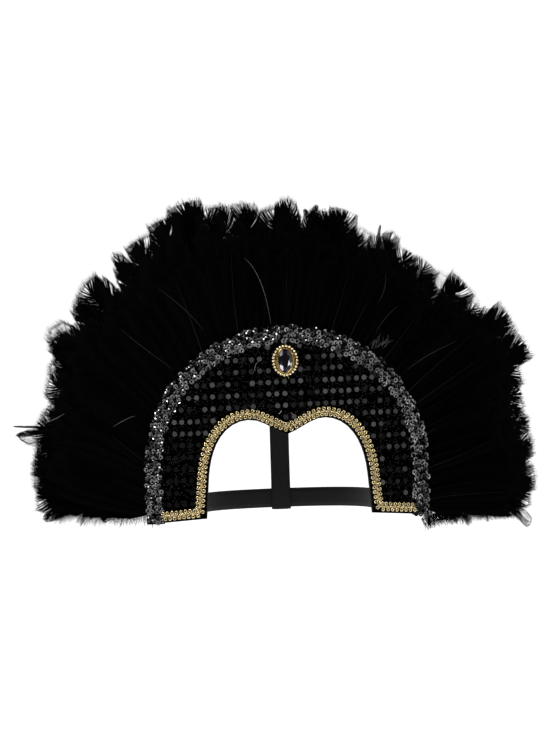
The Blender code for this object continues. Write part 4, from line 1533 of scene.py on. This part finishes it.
def lit_shafts():
    """Shafts and a tuft of loose barbs on the front of the fan, whose catch of the light is painted into
    their grey colour.
    """
    dice = random.Random(77)
    lines = list(LIT_SHAFTS)
    for k in range(TUFT_HAIRS):
        foot = Vector((86.0 + 0.8 * k, 84.0 + dice.uniform(-2, 3), 6.0))
        turn = math.radians(dice.uniform(30, 85))
        run = Vector((math.cos(turn), math.sin(turn), 0.15)) * dice.uniform(6, 13)
        bow = Vector((-run.y, run.x, 0.0)) * dice.uniform(-0.10, 0.10)
        lines.append((foot, foot + run * 0.5 + bow, foot + run, 0.20, True))
    # Painted highlights: the pale shafts and the tuft get a light grey, the dim shafts a darker grey painted
    # sheen, as base colour
    for name, tone, pale in (("lit_shafts_pale", "#565654", True), ("lit_shafts_dim", "#262624", False)):
        shape = bmesh.new()
        tip = shape.verts.layers.float.new("tip")
        for first, middle, last, thick, light in lines:
            if light != pale:
                continue
            start = Vector(first)
            end = Vector(last)
            pull = Vector(middle) * 2 - (start + end) / 2
            curve = interpolate_bezier(start, mix(start, pull, 2 / 3), mix(end, pull, 2 / 3), end, 14)
            points = [wrap(*(p * MM)) for p in curve]
            half = thick / 2 * MM
            sweep(shape, points, lambda share: half * mix(0.35, 1.0, math.sin(math.pi * share)), 5)
        for vert in shape.verts:
            vert[tip] = 1.0
        finish = dyed_feather("bare_horn_" + tone[1:], tone)
        finish_piece(from_bmesh(name, shape), finish, "black_feather")


def stray_places():
    """Loose feathers that lie across the rim."""
    places = []
    for foot_angle, foot_reach, angle, reach, wide, kind in STRAYS:
        foot_flat = fan_place(foot_angle, foot_reach * MM)
        tip_flat = fan_place(angle, reach * MM)
        foot = wrap(foot_flat.x, foot_flat.y, -9.0 * MM)
        run = wrap(tip_flat.x, tip_flat.y, -12.0 * MM) - foot
        size = (run.length / FEATHER_LENGTH, wide, 0.3)
        places.append((foot, facing(run, outward(tip_flat.x)), size, kind * VARIANTS_EACH))
    return places


def down_places(dice):
    """Tufts of down along the fan's lower edges, pointing down and out."""
    places = []
    for side, high in DOWN_HEIGHTS:
        for k in range(DOWN_TUFTS):
            share = k / (DOWN_TUFTS - 1)
            u = side * mix(CROWN_HALF_WIDTH + 0.003, DOWN_END_U, share)
            v = LEG_END_V + (high + 3.0 * share + dice.uniform(-2, 4)) * MM
            spot = wrap(u, v, dice.uniform(-14, -2) * MM)
            turn = math.radians(dice.gauss(-66, 13))
            along = Vector((side * math.cos(turn), 0.3 * math.cos(turn), math.sin(turn)))
            size = dice.uniform(0.7, 1.1)
            kind = dice.randrange(DOWN_VARIANTS)
            places.append((spot, facing(along, outward(u)), (size, size, 1.0), kind))
    return places


def length_setting(name, description, default):
    """A setting for a length, with its default in mm."""
    return FloatProperty(name=name, description=description, default=default * MM, unit="LENGTH")


def colour_setting(name, description, default):
    """A setting for a colour, with its default as for linear()."""
    shown = linear(default)[:3]
    return FloatVectorProperty(name=name, description=description, default=shown, subtype="COLOR")


class HeaddressSizes(bpy.types.PropertyGroup):
    """Sizes that a maker of the crown would change."""

    seed: IntProperty(name="Seed", description="Start of every random draw", default=7, min=0)
    dot_size: length_setting("Dot size", "Width of a flat sequin on the cloth", 5.2)
    dot_pitch: length_setting("Dot pitch", "From dot to dot along a row", 8.0)
    dot_rise: length_setting("Row pitch", "From row to row of dots", 11.8)
    dot_row_tilt: FloatProperty(
        name="Row tilt", description="Tilt of the rows of dots, in degrees", default=1.0
    )
    sequin_size: length_setting("Sequin size", "Width of a cup sequin in the trim", 5.2)
    sequin_gap: length_setting("Sequin gap", "Least distance between sequins' middles", 3.7)
    sequin_tilt: FloatProperty(
        name="Sequin tilt", description="Most that a sequin tilts, in degrees", default=15.0
    )
    braid_pitch: length_setting("Braid pitch", "From curl to curl of the braid", 4.8)


class HeaddressLook(bpy.types.PropertyGroup):
    """Colours of the dyed and metallised pieces, and the light and ground of the picture."""

    feather_colour: colour_setting("Feathers", "Dye of the feathers' tips", "#030303")
    # The dots' grey is their painted sheen
    dot_colour: colour_setting("Dots", "Film of the cloth's flat dots", "#434344")
    sequin_colour: colour_setting("Sequins", "Film of the trim's sequins", "#6c6c6d")
    braid_colour: colour_setting("Braid", "Lurex thread of the braid", "#fbe6ae")
    backdrop: colour_setting(
        "Backdrop", "Paint of the floor and backdrop, under their own glow", (0.30, 0.30, 0.30)
    )
    key_power: FloatProperty(
        name="Key", description="Power of the upper left softbox", default=60.0, unit="POWER"
    )
    fill_power: FloatProperty(
        name="Fill", description="Power of the right and the top softbox", default=16.0, unit="POWER"
    )


class HEADDRESS_OT_board(bpy.types.Operator):
    """Gives the crown board its felt."""

    bl_idname = "headdress.board"
    bl_label = "Crown board"

    def execute(self, context):
        board = frame["nodes"]["crown_board"]
        board.data.materials.clear()
        board.data.materials.append(needled_felt())
        return {"FINISHED"}


class HEADDRESS_OT_cloth(bpy.types.Operator):
    """Makes the sequin cloth and its dots."""

    bl_idname = "headdress.cloth"
    bl_label = "Sequin cloth"

    def execute(self, context):
        cloth_sheet()
        cloth_dots(context.scene.headdress_sizes, context.scene.headdress_look)
        return {"FINISHED"}


class HEADDRESS_OT_trim(bpy.types.Operator):
    """Makes the sequin trim on the outer edge."""

    bl_idname = "headdress.trim"
    bl_label = "Sequin trim"

    def execute(self, context):
        trim_pieces(context.scene.headdress_sizes, context.scene.headdress_look)
        return {"FINISHED"}


class HEADDRESS_OT_braid(bpy.types.Operator):
    """Makes the gold braid on the lower edge."""

    bl_idname = "headdress.braid"
    bl_label = "Gold braid"

    def execute(self, context):
        braid_pieces(context.scene.headdress_sizes, context.scene.headdress_look)
        return {"FINISHED"}


class HEADDRESS_OT_jewel(bpy.types.Operator):
    """Makes the jewel, its beads and the threads that hold it."""

    bl_idname = "headdress.jewel"
    bl_label = "Jewel"

    def execute(self, context):
        # Painted shade: the cup's gilt is a darker brown than the beads', so that the gaps between the beads
        # read dark
        jewel_setting(gilt_metal("rubbed_gilt", "#3c3018", "#a08c58"))
        jewel_beads(gilt_metal("bright_gilt", "#a88c58", "#efe4c8"))
        jewel_stone(cut_acrylic())
        jewel_threads(lurex_thread(context.scene.headdress_look.braid_colour))
        return {"FINISHED"}


class HEADDRESS_OT_straps(bpy.types.Operator):
    """Makes both elastics, their stitches and the loose ends of thread."""

    bl_idname = "headdress.straps"
    bl_label = "Elastics"

    def execute(self, context):
        strap_pieces()
        loose_threads()
        return {"FINISHED"}


class HEADDRESS_OT_feathers(bpy.types.Operator):
    """Makes the tapes and the feathers sewn to them."""

    bl_idname = "headdress.feathers"
    bl_label = "Feathers"

    def execute(self, context):
        tape_pieces()
        feather_pieces(context.scene.headdress_sizes, context.scene.headdress_look)
        lit_shafts()
        return {"FINISHED"}


class HEADDRESS_OT_stage(bpy.types.Operator):
    """Sets the pale floor and backdrop, the softboxes and the camera."""

    bl_idname = "headdress.stage"
    bl_label = "Stage"

    def execute(self, context):
        look = context.scene.headdress_look
        make_backdrop(look)
        make_lights(look)
        make_camera(context.scene)
        return {"FINISHED"}


def make_backdrop(look):
    """A pale floor that curves up into a backdrop, well clear of the headdress."""
    floor_z = CAD_BOX[0][2] - FLOOR_DROP
    line = [Vector((0, -STAGE_REACH, floor_z)), Vector((0, BACKDROP_Y - BACKDROP_BEND, floor_z))]
    for k in range(1, 13):
        turn = math.radians(90 * k / 12)
        y = BACKDROP_Y - BACKDROP_BEND * (1 - math.sin(turn))
        line.append(Vector((0, y, floor_z + BACKDROP_BEND * (1 - math.cos(turn)))))
    line.append(Vector((0, BACKDROP_Y, BACKDROP_TOP)))
    shape = bmesh.new()
    rows = [[shape.verts.new((x, p.y, p.z)) for x in (-STAGE_REACH, STAGE_REACH)] for p in line]
    for a, b in zip(rows, rows[1:]):
        shape.faces.new((a[0], a[1], b[1], b[0]))
    made = from_bmesh("backdrop", shape)
    paint, tree, shader = new_material("backdrop_paper", look.backdrop, 0.9)
    feed(tree, shader, {"Emission Color": WHITE, "Emission Strength": 1.0})
    made.data.materials.append(paint)


def area_light(name, place, aim, size, power):
    """A square softbox that faces its aim."""
    data = bpy.data.lights.new(name, "AREA")
    data.size = size
    data.energy = power
    made = link(bpy.data.objects.new(name, data))
    made.location = place
    made.rotation_euler = (Vector(aim) - Vector(place)).to_track_quat("-Z", "Y").to_euler()


def make_lights(look):
    """A large soft key from the upper left, and two weaker ones from the right and from above."""
    powers = {"key": look.key_power, "fill": look.fill_power, "top": look.fill_power}
    for name, place, size in LAMPS:
        area_light(name, place, LAMP_AIM, size, powers[name])
    world = bpy.data.worlds.new("studio")
    world.use_nodes = True
    feed(world.node_tree, world.node_tree.nodes["Background"], {"Color": WHITE, "Strength": WORLD_GLOW})
    bpy.context.scene.world = world


def make_camera(scene):
    """The photo's view: nearly level, a little from the left, turned 2 degrees."""
    data = bpy.data.cameras.new("camera")
    data.sensor_fit = "HORIZONTAL"
    data.sensor_width = SENSOR_WIDTH
    data.lens = SENSOR_WIDTH * CAMERA_DISTANCE / (IMAGE_WIDTH * MM)
    data.clip_end = 50
    camera = link(bpy.data.objects.new("camera", data))
    yaw = math.radians(CAMERA_YAW)
    aim = Vector(CAMERA_AIM)
    camera.location = aim - Vector((math.sin(yaw), math.cos(yaw), 0)) * CAMERA_DISTANCE
    camera.rotation_euler = (math.radians(90), 0, -yaw)
    camera.rotation_euler.rotate_axis("Z", math.radians(-CAMERA_ROLL))
    scene.camera = camera
    scene.view_settings.view_transform = "Standard"


class HEADDRESS_PT_panel(bpy.types.Panel):
    """Lists the pieces and their sizes."""

    bl_idname = "HEADDRESS_PT_panel"
    bl_label = "Headdress"
    bl_space_type = "VIEW_3D"
    bl_region_type = "UI"
    bl_category = "Headdress"

    def draw(self, context):
        layout = self.layout
        for group in (context.scene.headdress_sizes, context.scene.headdress_look):
            for key in group.__annotations__:
                layout.prop(group, key)
        for made in OPERATORS:
            layout.operator(made.bl_idname)


OPERATORS = (
    HEADDRESS_OT_board,
    HEADDRESS_OT_cloth,
    HEADDRESS_OT_trim,
    HEADDRESS_OT_braid,
    HEADDRESS_OT_jewel,
    HEADDRESS_OT_straps,
    HEADDRESS_OT_feathers,
    HEADDRESS_OT_stage,
)
CLASSES = (HeaddressSizes, HeaddressLook, *OPERATORS, HEADDRESS_PT_panel)


def register():
    """Registers the add-on's classes and its groups of settings."""
    for made in CLASSES:
        bpy.utils.register_class(made)
    bpy.types.Scene.headdress_sizes = PointerProperty(type=HeaddressSizes)
    bpy.types.Scene.headdress_look = PointerProperty(type=HeaddressLook)


def unregister():
    """Removes them again."""
    del bpy.types.Scene.headdress_look
    del bpy.types.Scene.headdress_sizes
    for made in reversed(CLASSES):
        bpy.utils.unregister_class(made)


def main():
    """Makes every piece."""
    register()
    for made in OPERATORS:
        group, name = made.bl_idname.split(".")
        getattr(getattr(bpy.ops, group), name)()


if __name__ == "__main__":
    main()
